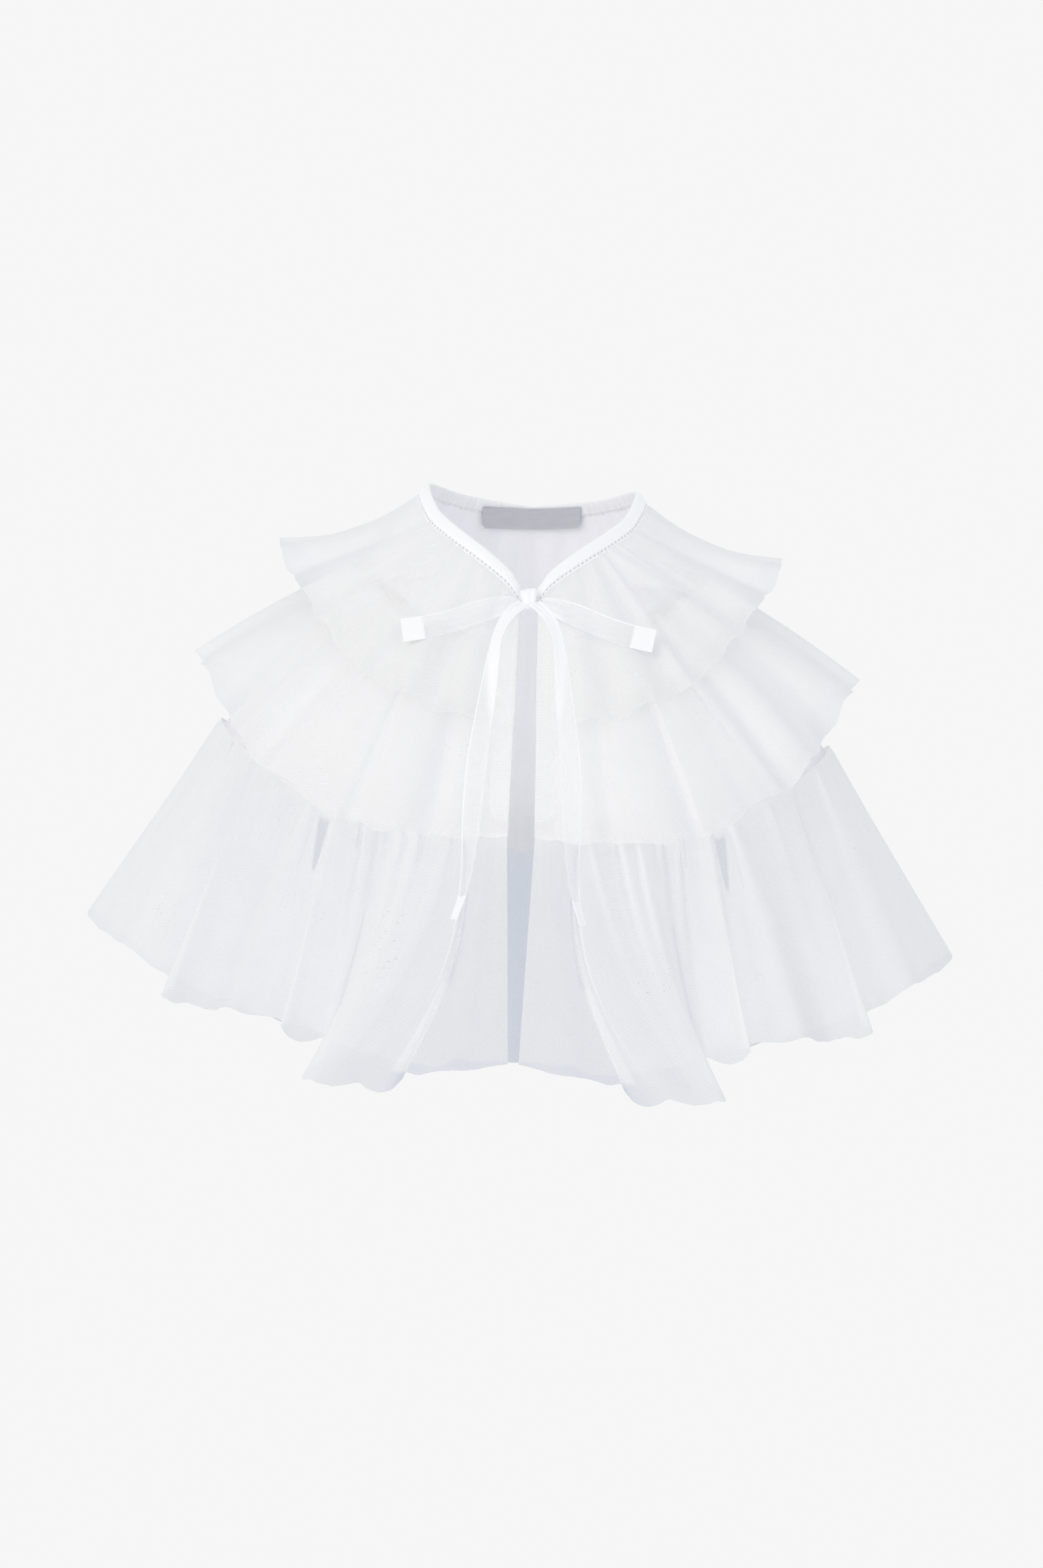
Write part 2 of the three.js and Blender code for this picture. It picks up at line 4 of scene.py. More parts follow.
import bpy
import numpy as np
from bpy.props import FloatProperty, FloatVectorProperty, PointerProperty
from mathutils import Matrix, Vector


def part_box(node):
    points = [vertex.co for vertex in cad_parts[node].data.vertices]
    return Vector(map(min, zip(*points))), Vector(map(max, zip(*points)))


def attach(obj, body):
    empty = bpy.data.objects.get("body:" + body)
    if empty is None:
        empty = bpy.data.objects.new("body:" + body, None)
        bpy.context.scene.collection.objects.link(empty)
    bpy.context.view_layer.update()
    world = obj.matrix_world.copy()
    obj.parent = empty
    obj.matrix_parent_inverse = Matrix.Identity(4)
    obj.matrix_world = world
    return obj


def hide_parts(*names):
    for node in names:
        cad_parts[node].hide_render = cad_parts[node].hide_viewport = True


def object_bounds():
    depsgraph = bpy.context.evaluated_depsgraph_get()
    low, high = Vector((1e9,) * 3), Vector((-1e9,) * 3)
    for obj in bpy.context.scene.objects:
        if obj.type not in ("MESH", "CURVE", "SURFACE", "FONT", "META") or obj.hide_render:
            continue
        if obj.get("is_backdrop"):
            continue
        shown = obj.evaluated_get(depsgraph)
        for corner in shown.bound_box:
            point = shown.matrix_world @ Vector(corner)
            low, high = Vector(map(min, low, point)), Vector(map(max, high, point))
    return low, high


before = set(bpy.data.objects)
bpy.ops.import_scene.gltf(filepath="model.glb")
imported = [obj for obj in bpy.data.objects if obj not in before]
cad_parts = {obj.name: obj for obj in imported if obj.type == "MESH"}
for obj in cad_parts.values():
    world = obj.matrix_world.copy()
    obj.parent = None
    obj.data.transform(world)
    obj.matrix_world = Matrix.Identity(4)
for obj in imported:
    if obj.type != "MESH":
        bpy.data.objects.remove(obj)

bl_info = {
    "name": "Layered net collar",
    "version": (1, 0, 0),
    "blender": (4, 5, 0),
    "location": "View3D > Sidebar > Net collar",
    "description": "Three gathered net tiers on a lining, with a satin binding and a ribbon tie",
    "category": "Object",
}

CAD_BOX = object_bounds()
MM = 0.001
BACK_CENTRE = 180.0
CLOTH_MAP = "cloth"
PLIES = "plies"
OPAQUE = 14.0  # plies of sheer cloth that let nothing through
SEED = 17

# The camera: its frame's height at the collar, its distance and its height in metres, its roll, and its
# sensor's height in millimetres
VIEW_HEIGHT = 0.974
CAMERA_DISTANCE = 2.6
CAMERA_HEIGHT = -0.1834
CAMERA_ROLL = math.radians(2.3)
SENSOR = 36.0


def linear(code):
    """An sRGB hex colour as linear red, green and blue."""
    values = [int(code[i : i + 2], 16) / 255 for i in (0, 2, 4)]
    return [v / 12.92 if v <= 0.04045 else ((v + 0.055) / 1.055) ** 2.4 for v in values]


def node_size(node, axis):
    """The length of a CAD node along one axis, in metres."""
    low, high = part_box(node)
    return high[axis] - low[axis]


def table(heading, text):
    """A short table with named columns, as arrays."""
    values = np.array([[float(word) for word in line.split()] for line in text.strip().splitlines()])
    return dict(zip(heading.split(), values.T))


# Columns of the tables, in millimetres, with azimuths in degrees: 0 at the front centre, 180 at the back
# centre. A point of a ring lies at x = across * sin(azimuth), y = -along * cos(azimuth).
RING = "azimuth across along height"
BOW = "azimuth bow"
FOLDS = "seam hem out drop plies sweep"
PLEATS = "seam out width reach lean plies"
SLOTS = "seam top low wide_top wide_low lean share"
GATHERS = "spacing depth least most lean"
RIBBON = "x y z width turn"

NECKLINE = table(RING, """
0 63.6 62 -68
5 63.6 62 -63.5
10 63.6 62 -55.5
18 63.6 61.5 -47.5
30 63.6 61 -38
46 63.6 60.5 -27.5
62 63.6 60 -18
76 63.6 58 -7.5
90 63.6 57 -0.5
112 64 56 1
138 64.5 55 -2.5
180 65 55 -7.5
""")
BASE_EDGE = table(RING, """
0 188 112 -214
12 188 112 -215
25 188 112 -212
41 188 112 -200
60 188 113 -176
90 188 118 -152
120 186 126 -172
150 182 128 -212
180 182 128 -226
""")
BASE_BOW = table(BOW, """
0 5
50 3
90 0
130 12
180 19
""")

# The three tiers: hem ring, how far the cloth bows out on its way down, and its fold lines over the
# front half. A fold leaves the seam at one azimuth and reaches the hem at another, where it stands out
# from the ring by `out` and hangs lower by `drop`. Its cloth lies `plies` thick, and its line swings
# `sweep` towards the front on the way. Even folds go on round the `back`, `thinner` from one azimuth to
# the other. `pleats` are single narrow folds, and `slots` are places where the cloth parts: from `top` to
# `low` below the seam, as wide as the next two columns say, with `share` of the plies left. `gathers`
# are the small folds below the seam, which lies `stand_off` outside the lining. In front, the plies
# lessen by `hem_fade` at the hem.
TOP_TIER = {
    "hem": table(RING, """
0 157 99.5 -148
7 157 100.5 -147
9 157 103 -147
16 157 115 -144
27 157 121 -135
42 157 124 -114
53 157 124 -89
64 157 123 -66
76 157 122 -48
90 156 121 -37
110 156 122 -40
135 156 124 -65
160 155 123 -93
180 155 122 -102
"""),
    "bow": table(BOW, """
0 2
45 2
70 -4
90 -9
120 -1
180 5
"""),
    "folds": table(FOLDS, """
4.5 2.3 0 0 2.4 0
12 7 0 0 2.6 0
18 14 4 0 2.6 0
23 21 -3 0 2.4 0
28 28 5 0 2.7 0
33 35 -4 0 2.7 0
36.5 38.5 2 0 2.7 0
38.5 41.5 -1 0 2.6 0
41 48 -1 0 2.8 0
43 52.5 3 1 3.1 0
49 56.5 -4 0 3.2 0
56 62.5 4 0 3.5 0
64 69.4 -5 0 3.7 0
73 76 3 0 3.8 0
82 86 -2 0 3.9 0
"""),
    "back": {"start": 90, "count": 12, "out": 2.5, "plies": 1.2, "thinner": (108, 126)},
    "pleats": table(PLEATS, """
60 1.5 2.5 40 -1 0.12
47 1.5 2.2 50 -1 0.15
41.8 1.8 1.8 60 -2 0.2
36.2 1.5 2 45 1 0.15
30 1.2 2.2 30 0 0.1
22 1.2 2.2 30 0 0.1
"""),
    "slots": table(SLOTS, """
38.4 27 58 1 13 4 0.4
23.5 36 46 2 20 0 0.6
52 30 62 1 7 2 0.75
"""),
    "gathers": table(GATHERS, """
3.7 0.35 5 16 0.5
9.5 1.1 16 60 0.6
"""),
    "stand_off": 1.3,
    "rows": 42,
    "hem_fade": 0.6,
}
MIDDLE_TIER = {
    "hem": table(RING, """
0 209 112.5 -205
6 209 114 -208
13 209 130 -212
25 209 145 -208
38 209 151 -194
50 209 152 -172
61 209 152 -148
69 209 152 -126
79 209.5 152 -114.5
90 202 153 -111
112 200 158 -122
138 206 161 -166
162 204 160 -207
180 204 158 -218
"""),
    "bow": table(BOW, """
0 1.5
45 6
90 3
180 9
"""),
    "folds": table(FOLDS, """
3.3 2.1 0 9 2.7 0
10.8 5.9 0 9 4 0
13.5 10.3 2 7 4.2 0
18 13.5 -3 3 4 0
20.7 15.4 -3 2 4 0
24 19.5 5 7 4 0
28 23.8 5 8 4 0
31.8 28.8 -2 3 3 0
33.6 30.6 2 7 3.5 0
35.2 34.6 2 6 3.4 0
36.4 39.8 1 0 3.4 0
38.5 44 0 0 3.3 0
41.5 46.5 1 3 3.5 0
46 49.7 -4 2 3.5 0
52 54.6 5 1 3.8 0
58 61.7 -4 -3 4.1 0
65 68.3 4 -2 3.9 0
72 77.5 -2 -5 3.9 0
80 82 2 -3 4 0
"""),
    "back": {"start": 87, "count": 14, "out": 3, "plies": 1.2, "thinner": (108, 126)},
    "pleats": table(PLEATS, """
58 2 3 50 -1 0.12
48 2 3 60 -1 0.12
41 2.4 2.4 80 -3 0.2
35 2.4 3 80 1 0.2
28.6 2 2.6 60 1 0.15
24 1.6 3 40 0 0.1
17 1.4 3 40 0 0.1
"""),
    "slots": table(SLOTS, """
32.2 40 92 4 1.5 -2 0.6
38.7 52 94 1.5 2.5 0 0.6
20 50 110 3 2 0 0.9
"""),
    "gathers": table(GATHERS, """
4.1 0.5 6 20 0.5
11 1.7 20 80 0.6
"""),
    "stand_off": 1.3,
    "rows": 46,
    "hem_fade": 0.55,
}
BOTTOM_TIER = {
    "hem": table(RING, """
0 264 170 -348
14 264 175 -353
27 264 178 -343
41 264 178 -326
50 264 178 -312
59 264 178 -293
72 264 179 -281
90 264 181 -272
112 263 186 -294
125 262 188 -318
138 262 190 -338
150 260 191 -352
162 260 192 -371
180 260 192 -368
"""),
    "bow": table(BOW, """
0 5
60 2
90 0
180 6
"""),
    "folds": table(FOLDS, """
2.54 0.65 0 -2 1.6 0
6 6 4 1 1.6 3
9.4 15 4 2 1.4 13
10.2 14.2 -8 -2 0.4 14
10.7 14.3 8 14 1.4 14
11.1 17.1 12 18 2.4 18
11.7 18.6 14 17 2.5 22
12.6 22 20 24 2.7 12
17.5 23.5 22 24 3.4 10
22.2 25.3 17 22 3.5 9
24.2 24.7 4 5 2.8 5
27 25 -6 -6 2.1 4
30 25.9 -8 -11 2.5 3
34.2 29.2 2 -3 2.9 3
35.4 30.7 8 -5 3.1 2
37.2 31 -5 -13 2.6 2
39.5 35.3 -3 -10 2.6 2
41.9 39.1 6 -4 2.9 0
45.5 43 -3 0 2.6 0
52 46.5 2 5 2.6 0
57.5 49.6 12 11 3 0
59.5 51.2 -5 -2 2.5 0
65 55.1 -2 0 3.1 0
72 61.1 4 2 3.6 0
78 70.9 2 2 3.6 0
84 85 2 2 3.6 0
"""),
    "back": {"start": 91, "count": 14, "out": 3, "plies": 0.8, "thinner": (97, 113)},
    "pleats": table(PLEATS, """
41.9 3.5 3.2 50 -3 0.25
35.1 3.5 3 70 3 0.25
29.7 -3 1.6 45 0 -0.7
28.5 2.5 1.8 80 1 0.35
26.3 -2.5 1.5 55 0 -0.7
24.7 -2 1.2 16 0 -0.5
22.7 3.5 3.2 90 -3 0.35
21 -2 1.8 32 0 -0.4
19.1 3 2.6 70 -2 0.35
17.6 -2 1.6 40 0 -0.5
16.2 -2 3.5 24 0 -0.3
12.9 3 2.2 90 -2 0.2
"""),
    "slots": table(SLOTS, """
37.7 9 50 8.5 1 1 0.2
40.2 8 50 3 0.5 0 0.75
30.6 0 26 2 0.5 0 0.5
9.3 38 98 2 6 0 0.4
12.1 24 150 1 1.6 0 0.85
26 60 125 1 5 0 0.6
"""),
    "gathers": table(GATHERS, """
4.5 0.7 8 24 0.5
13 2.8 30 140 0.7
"""),
    "stand_off": 1.6,
    "rows": 60,
    "hem_fade": 0.0,
}

# Where the middle and the lowest tier are sewn on, as shares of the way down the lining
MIDDLE_SEAM = table("azimuth share", """
0 0.3
90 0.3
180 0.4
""")
BOTTOM_SEAM = 0.992

COLUMNS_PER_FOLD = 16
FOLD = np.linspace(0, np.pi, 6)[1:-1]  # angles round the edge of a doubled cloth

# Azimuths: where the front's pleats end, where its faded hem ends, and the side tips, which hang smooth
PLEATED_FRONT = 46.0
FADED_FRONT = (50, 64)
SIDE_TIP = 87
SIDE_TIP_WIDTH = 13

# How far a tier and the lining reach up under the binding, how far below its seam a tier's gathers open,
# and the slow waves of a hem, in millimetres
TIER_TUCK = 2
LINING_TUCK = 3
GATHERS_OPEN = 7
HEM_WAVE_DEPTH = 1.6
HEM_WAVE_SPACING = 17

# The lining's flat length, and its fold at the back: how far to the right it begins, and how far it
# drifts, in millimetres
LINING_LENGTH = 150
BACK_FOLD_START = 2.2
BACK_FOLD_DRIFT = 1.5

# Half width of the front opening at the neckline and at the lining's lower edge
OPENING_TOP = 5.4
OPENING_LOW = 8.2

# Front facings, in millimetres: how far they stand off the lining, their width, where they end as a share
# of the way down, how their end is rounded, and the gap between their two plies
FACING_STAND = 7.2
FACING_WIDTH = 11.0
FACING_END = 0.96
FACING_ROUND = 9.0
FACING_PLY_GAP = 0.8

# Binding and its stitches, in millimetres
BINDING_WIDTH = 10.8
BINDING_THICK = 4.4
BINDING_START = 4.0  # azimuth where it comes out of the knot
BINDING_SLIT = 0.035  # how far round each of the slit's edges lies, as a share of the whole turn
STEP_OUT = 1.3  # how far each cloth lies outside the one under it
STITCH_PITCH = 3.1
STITCH_DOWN = 8.9
STITCH_LENGTH = 2.1
STITCH_THICK = 0.48
GROOVE_WIDTH = 0.8
GROOVE_DEPTH = 0.45  # share of the binding's thickness

# Label, in millimetres: how far it lies inside the lining, its turned ends and their gap, the rounding
# of its lower corners, and its tilt as a slope
LABEL_INSIDE = 2.6
LABEL_TURNED = 4.5
LABEL_GAP = 0.55
LABEL_CORNER = 2.0
LABEL_TILT = 0.045

# Ribbon paths for +X, in millimetres, with each place's width and its turn in degrees. The other side
# mirrors them. The turned edge lies this far behind the face.
RIBBON_GAP = 0.55
TIE_END_PATH = table(RIBBON, """
7 -75 -73.5 7 20
16 -80 -76 11 12
29 -85.5 -80.8 13.7 6
46 -90.5 -87.2 13.7 4
62 -94.5 -91.8 13.7 0
75.5 -95 -94.2 13.7 -2
""")
TIE_TAIL_PATH = table(RIBBON, """
3.6 -76.8 -73.8 8 40
12.4 -85.2 -82.4 8 34
18.2 -96 -96 6.5 26
20.5 -105 -110 8 20
22.6 -114 -128 10 16
25.2 -124 -150 11.5 12
27.6 -133 -173 12.5 14
29 -140 -196 12.5 24
30.2 -146 -217 12.5 42
31.6 -150 -237 12.5 60
34 -153 -251 12.5 70
37.8 -155 -264 12.5 74
""")


def length(name, description, default):
    """A size in metres that the user may change."""
    return FloatProperty(name=name, description=description, default=default, unit="LENGTH")


def colour(name, description, code):
    """A colour that the user may change, from its sRGB hex code."""
    return FloatVectorProperty(
        name=name, description=description, subtype="COLOR", size=3, default=linear(code))


class ClothSizes(bpy.types.PropertyGroup):
    """Sizes of the net tiers and the lining."""

    gather_depth: FloatProperty(
        name="Gather depth", description="Depth of the small folds below a seam, against the usual depth",
        default=1.0, min=0, max=3, subtype="FACTOR")
    hem_waver: length("Hem waver", "How unevenly the net was cut along its hem", 1.5 * MM)
    net_cell: length("Net cell", "Width of one cell of the net, as drawn", 1.7 * MM)
    net_cover: FloatProperty(
        name="Net cover", description="Share of the view that one ply of net closes",
        default=0.42, min=0, max=1, subtype="FACTOR")
    back_fold: length("Back fold", "Depth of the soft fold in the middle of the lining's back", 2.6 * MM)


class TrimSizes(bpy.types.PropertyGroup):
    """Sizes of the binding, the label and the tie."""

    label_width: length("Label width", "Width between its folded ends", node_size("neck_label", 0) - MM)
    label_height: length("Label height", "Height of the label", 14.4 * MM)
    label_top: length("Label top", "From the neckline down to the label", 0.6 * MM)
    ribbon_width: length("Ribbon width", "Width of the tie ribbon, laid flat", 15 * MM)
    knot_width: length("Knot width", "Width of the wrap round the knot", node_size("tie_knot", 0))


class Colours(bpy.types.PropertyGroup):
    """Colours of the cloths and of the stage."""

    net: colour("Net", "Nylon net of the tiers", "EDEEEF")
    lining: colour("Lining", "Lining of the cape", "F7F7FB")
    satin: colour("Satin", "Neck binding", "F4F5F7")
    organza: colour("Organza", "Tie ribbon", "F7F8FA")
    label: colour("Label", "Bare woven label", "C0C1C7")
    backdrop: colour("Backdrop", "Floor and background", "F6F6F6")
    studio: colour("Studio", "Light from the walls of the studio", "F0F1F4")
    behind: colour("Behind the net", "Studio wall as it shows through the net", "BEC6D5")


# Shapes


def unit(v):
    """Directions of some vectors."""
    return v / np.linalg.norm(v, axis=-1, keepdims=True)


def rise(value, start, end):
    """From 0 to 1, smoothly, as the value goes from start to end."""
    t = np.clip((value - start) / (end - start), 0, 1)
    return t * t * (3 - 2 * t)


def smooth(rows, name, key="azimuth"):
    """One column of a table, read smoothly at any value of the key column."""
    at, value = rows[key], rows[name]
    count = len(at)
    low = np.maximum(np.arange(count) - 1, 0)
    high = np.minimum(np.arange(count) + 1, count - 1)
    slope = (value[high] - value[low]) / (at[high] - at[low])

    def read(where):
        where = np.asarray(where, float)
        k = np.clip(np.searchsorted(at, where) - 1, 0, count - 2)
        span = at[k + 1] - at[k]
        t = np.clip((where - at[k]) / span, 0, 1)
        keep = t * t * (3 - 2 * t)
        leave = t * (1 - t) ** 2 * span * slope[k]
        arrive = t * t * (1 - t) * span * slope[k + 1]
        return value[k] * (1 - keep) + value[k + 1] * keep + leave - arrive

    return read


def ring(rows):
    """A ring of one of the tables, as a function from azimuth to a point."""
    across, along, height = (smooth(rows, name) for name in ("across", "along", "height"))

    def at(azimuth):
        angle = np.radians(azimuth)
        x = across(azimuth) * np.sin(angle)
        y = -along(azimuth) * np.cos(angle)
        return np.stack([x, y, height(azimuth)], -1)

    return at


def out_of(ring_at, azimuth, down):
    """Direction that points out of a cloth at one place of its ring, square to the way down."""
    nudge = 0.5
    before = ring_at(np.maximum(azimuth - nudge, 0))
    after = ring_at(np.minimum(azimuth + nudge, BACK_CENTRE))
    return unit(np.cross(down, after - before))


neckline_at = ring(NECKLINE)
base_edge_at = ring(BASE_EDGE)
base_bow = smooth(BASE_BOW, "bow")


def base_point(azimuth, share, stand_off=0.0):
    """A point of the lining, or of a cloth that stands off it, at a share of the way down."""
    azimuth, share, stand_off = np.broadcast_arrays(azimuth, share, stand_off)
    neck = neckline_at(azimuth)
    down = base_edge_at(azimuth) - neck
    out = out_of(base_edge_at, azimuth, unit(down))
    bow = base_bow(azimuth) * np.sin(np.pi * share) + stand_off
    return neck + down * share[..., None] + out * bow[..., None]


def base_length(azimuth):
    """Distance down the lining from the top of the neckline to its lower edge."""
    return np.linalg.norm(base_edge_at(azimuth) - neckline_at(azimuth), axis=-1)


def share_below(azimuth, distance):
    """Share of the way down at a distance below the top of the neckline."""
    return distance / base_length(azimuth)


def front_azimuth(share, beyond=0.0):
    """Azimuth of the lining's front edge at a share of the way down."""
    half = OPENING_TOP + (OPENING_LOW - OPENING_TOP) * share + beyond
    across = NECKLINE["across"][0] + (BASE_EDGE["across"][0] - NECKLINE["across"][0]) * share
    return np.degrees(np.arcsin(half / across))


def run_length(points):
    """Distance along a line of points, from its first."""
    steps = np.linalg.norm(np.diff(points, axis=0), axis=1)
    return np.concatenate([[0], np.cumsum(steps)])


def laid_flat(across):
    """Distance across a cloth from its first edge, once its folds are opened."""
    return np.cumsum(np.abs(np.diff(across, prepend=across[:, :1])), axis=1)


def hang(points):
    """Points in metres of the worn cape, which hangs a little to the right, lower and wider there."""
    x, y, z = (points * MM).reshape(-1, 3).T
    fall = np.maximum(-z, 0)
    low = np.maximum(x, 0) * fall
    return np.stack([x + 0.042 * low + 0.006 * fall, y, z - 0.075 * low], -1)


def waves(along, below, spacing, length, rng):
    """Small folds of uneven width, from -1 to 1, for each row below a seam and each column along it.
    Each fold dies away down the cloth in a length of its own."""
    count = int(along[-1] / spacing) + 4
    place = (np.arange(count) + rng.uniform(-0.32, 0.32, count) - 1) * spacing
    height = rng.uniform(0.25, 1, count) * np.where(np.arange(count) % 2, 1, -1)
    reach = rng.uniform(*length, count)
    k = np.clip(np.searchsorted(place, along) - 1, 0, count - 2)
    blend = rise(along, place[k], place[k + 1])
    rows = height * np.exp(-below[:, None] / reach)
    return rows[:, k] * (1 - blend) + rows[:, k + 1] * blend


def wave(along, spacing, rng):
    """Small folds of uneven width, from -1 to 1, that are the same all the way down."""
    return waves(along, np.zeros(1), spacing, (1, 1), rng)[0]


def squarer(value, power):
    """A wave whose crests are flattened, so that what it draws is squarer than an ellipse."""
    return np.sign(value) * np.abs(value) ** power


def slots(along, seam, below, rows):
    """What share of the plies is left at each place, where the cloth parts here and there."""
    crest = np.interp(rows["seam"], seam, along)
    left = np.ones((len(below), len(along)))
    for k, share in enumerate(rows["share"]):
        way = (below - rows["top"][k]) / (rows["low"][k] - rows["top"][k])
        here = np.clip(way, 0, 1)
        half = (rows["wide_top"][k] * (1 - here) + rows["wide_low"][k] * here) / 2
        off = np.abs(along[None, :] - crest[k] - (rows["lean"][k] * here)[:, None])
        inside = 1 - rise(off, 0.55 * half[:, None], 1.2 * half[:, None] + 0.4)
        ends = rise(way, -0.06, 0.08) * (1 - rise(way, 0.92, 1.08))
        left = left * (1 - (1 - share) * inside * ends[:, None])
    return left


def pleats(along, seam, below, rows):
    """Single folds that show beside the front: how far each place stands out, how far it leans sideways,
    and what share of plies it adds."""
    crest = np.interp(rows["seam"], seam, along)
    found = []
    for distance in below:
        far = (along[:, None] - crest) / (rows["width"] * (1 + distance / 70))
        fold = np.exp(-(far**2)) * np.exp(-distance / rows["reach"])
        found.append([fold @ rows[name] for name in ("out", "lean", "plies")])
    return np.array(found).transpose(1, 0, 2)


def gathers(along, below, kind, rng):
    """Small folds below a gathered seam: how far each place stands out, and how far it leans sideways.
    Each fold has its own height, drifts a little, and dies away down the cloth in a length of its own."""
    spacing, depth, least, most, lean = kind
    count = int(along[-1] / spacing) + 3
    crest = (np.arange(count) - 0.5 + rng.uniform(-0.4, 0.4, count)) * spacing
    height = rng.uniform(0.1, 1, count) ** 1.5
    half_width = spacing * rng.uniform(0.26, 0.46, count)
    reach = rng.uniform(least, most, count)
    drift = rng.uniform(-0.05, 0.05, count)
    side = rng.uniform(-1, 1, count)
    found = []
    for distance in below:
        far = (along[:, None] - crest - drift * distance) / (half_width * (1 + distance / 90))
        fold = np.exp(-(far**2)) * height * np.exp(-distance / reach)
        found.append([fold.sum(axis=1) * depth, (fold * side).sum(axis=1) * lean * spacing])
    return np.array(found).transpose(1, 0, 2)


# Meshes


def put(name, data, location=(0, 0, 0), rotation=(0, 0, 0)):
    """A new object in the scene."""
    made = bpy.data.objects.new(name, data)
    made.location, made.rotation_euler = location, rotation
    bpy.context.scene.collection.objects.link(made)
    return made


def new_object(name, vertices, faces):
    """A new mesh object at the origin, with its place in its mesh."""
    mesh = bpy.data.meshes.new(name)
    mesh.from_pydata(vertices, [], faces)
    return put(name, mesh)


def cloth(name, points, flat, plies, round_columns=False):
    """A sheet of cloth from a grid of points in millimetres, rows down and columns to the right as seen
    from outside. `flat` is each point's place across and down the flat cloth, `plies` how many layers."""
    rows, columns = points.shape[:2]
    number = np.arange(rows * columns).reshape(rows, columns)
    a, b = number[:-1, :-1], number[1:, :-1]
    c, d = number[1:, 1:], number[:-1, 1:]
    quads = np.stack([a, b, c, d], -1).reshape(-1, 4)
    if round_columns:
        last = np.stack([number[:-1, -1], number[1:, -1], number[1:, 0], number[:-1, 0]], -1)
        quads = np.concatenate([quads, last])
    piece = new_object(name, hang(points).tolist(), quads.tolist())
    mesh = piece.data
    layer = mesh.uv_layers.new(name=CLOTH_MAP)
    corner = np.empty(len(mesh.loops), int)
    mesh.loops.foreach_get("vertex_index", corner)
    flat = np.stack([np.broadcast_to(part, (rows, columns)) for part in flat], -1)
    layer.data.foreach_set("uv", (flat.reshape(-1, 2)[corner] * MM).ravel())
    layers = mesh.attributes.new(PLIES, "FLOAT", "POINT")
    layers.data.foreach_set("value", np.broadcast_to(plies, (rows, columns)).ravel().astype(float))
    mesh.shade_smooth()
    return piece


def cloth_round(name, points, along, down, plies):
    """A cloth that goes all round, from the half of it whose columns run from the front edge to the back
    centre. `along` and `down` are each point's distances on the flat cloth."""
    points[:, -1, 0] = 0
    plies = np.broadcast_to(plies, points.shape[:2])
    both_ways = np.concatenate([along, 2 * along[-1] - along[-2::-1]]) - along[-1]
    whole = np.concatenate([points, points[:, -2::-1] * (-1, 1, 1)], axis=1)
    return cloth(name, whole, (both_ways, down), np.concatenate([plies, plies[:, -2::-1]], axis=1))


def dress(piece, node, material):
    """Gives a piece its finish and puts it in its CAD node's place."""
    piece.data.materials.append(material)
    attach(piece, "root")
    if node:
        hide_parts(node)
    return piece


# Materials


def feed(socket, value):
    """Gives an input its number, its colour, or the node or output that drives it."""
    if isinstance(value, bpy.types.Node):
        value = next(output for output in value.outputs if output.enabled)
    if isinstance(value, bpy.types.NodeSocket):
        socket.id_data.links.new(value, socket)
    else:
        socket.default_value = (*value, 1) if socket.type == "RGBA" else value


def add_node(tree, kind, *values, named=(), **settings):
    """Adds a shader node with its settings; what a sum or a mix works on stands after its kind. Values go
    to its open inputs in their order, or to the ones that are named."""
    kind, *work = kind.split()
    made = tree.nodes.new("ShaderNode" + kind)
    for name, value in (*zip(["data_type" if kind == "Mix" else "operation"], work), *settings.items()):
        setattr(made, name, value)
    for socket, value in zip([socket for socket in made.inputs if socket.enabled], values):
        feed(socket, value)
    for name, value in dict(named).items():
        feed(made.inputs[name], value)
    return made


def new_material(name, **sockets):
    """A material, the function that adds its nodes, and its surface shader, which holds the even values
    on its own sockets."""
    material = bpy.data.materials.new(name)
    material.use_nodes = True
    tree = material.node_tree
    shader = tree.nodes["Principled BSDF"]
    for socket, value in sockets.items():
        shader.inputs[socket.replace("_", " ")].default_value = value
    return material, partial(add_node, tree), shader


def pattern(add, place, size, detail=2.0, roughness=0.5):
    """Soft noise, from 0 to 1, whose spots are `size` millimetres across and down."""
    per_metre = (1 / (size[0] * MM), 1 / (size[1] * MM), 1.0)
    return add("TexNoise", add("VectorMath MULTIPLY", place, per_metre), 1.0, detail, roughness)


def bands(add, place, spacing, ways):
    """Even bands in one or more directions, added together, each `spacing` metres from the next."""
    total = 0.0
    for degrees in ways:
        angle, turns = math.radians(degrees), 2 * math.pi / spacing
        way = (turns * math.cos(angle), turns * math.sin(angle), 0)
        far = add("VectorMath DOT_PRODUCT", place, way)
        total = add("Math ADD", total, add("Math COSINE", far))
    return total


def see_through(add, shader, cover):
    """Sets a sheer cloth's alpha from one ply's cover and the number of plies that lie on each other."""
    plies = add("Attribute", attribute_name=PLIES).outputs["Fac"]
    gap = add("Math SUBTRACT", 1.0, cover, use_clamp=True)
    feed(shader.inputs["Alpha"], add("Math SUBTRACT", 1.0, add("Math POWER", gap, plies)))


def tint_and_relief(add, shader, tint, height, deep, strength):
    """Joins a cloth's colour and its relief, `deep` millimetres deep, to its shader."""
    relief = add("Bump", named={"Height": height, "Distance": deep * MM, "Strength": strength})
    feed(shader.inputs["Base Color"], tint)
    feed(shader.inputs["Normal"], relief)


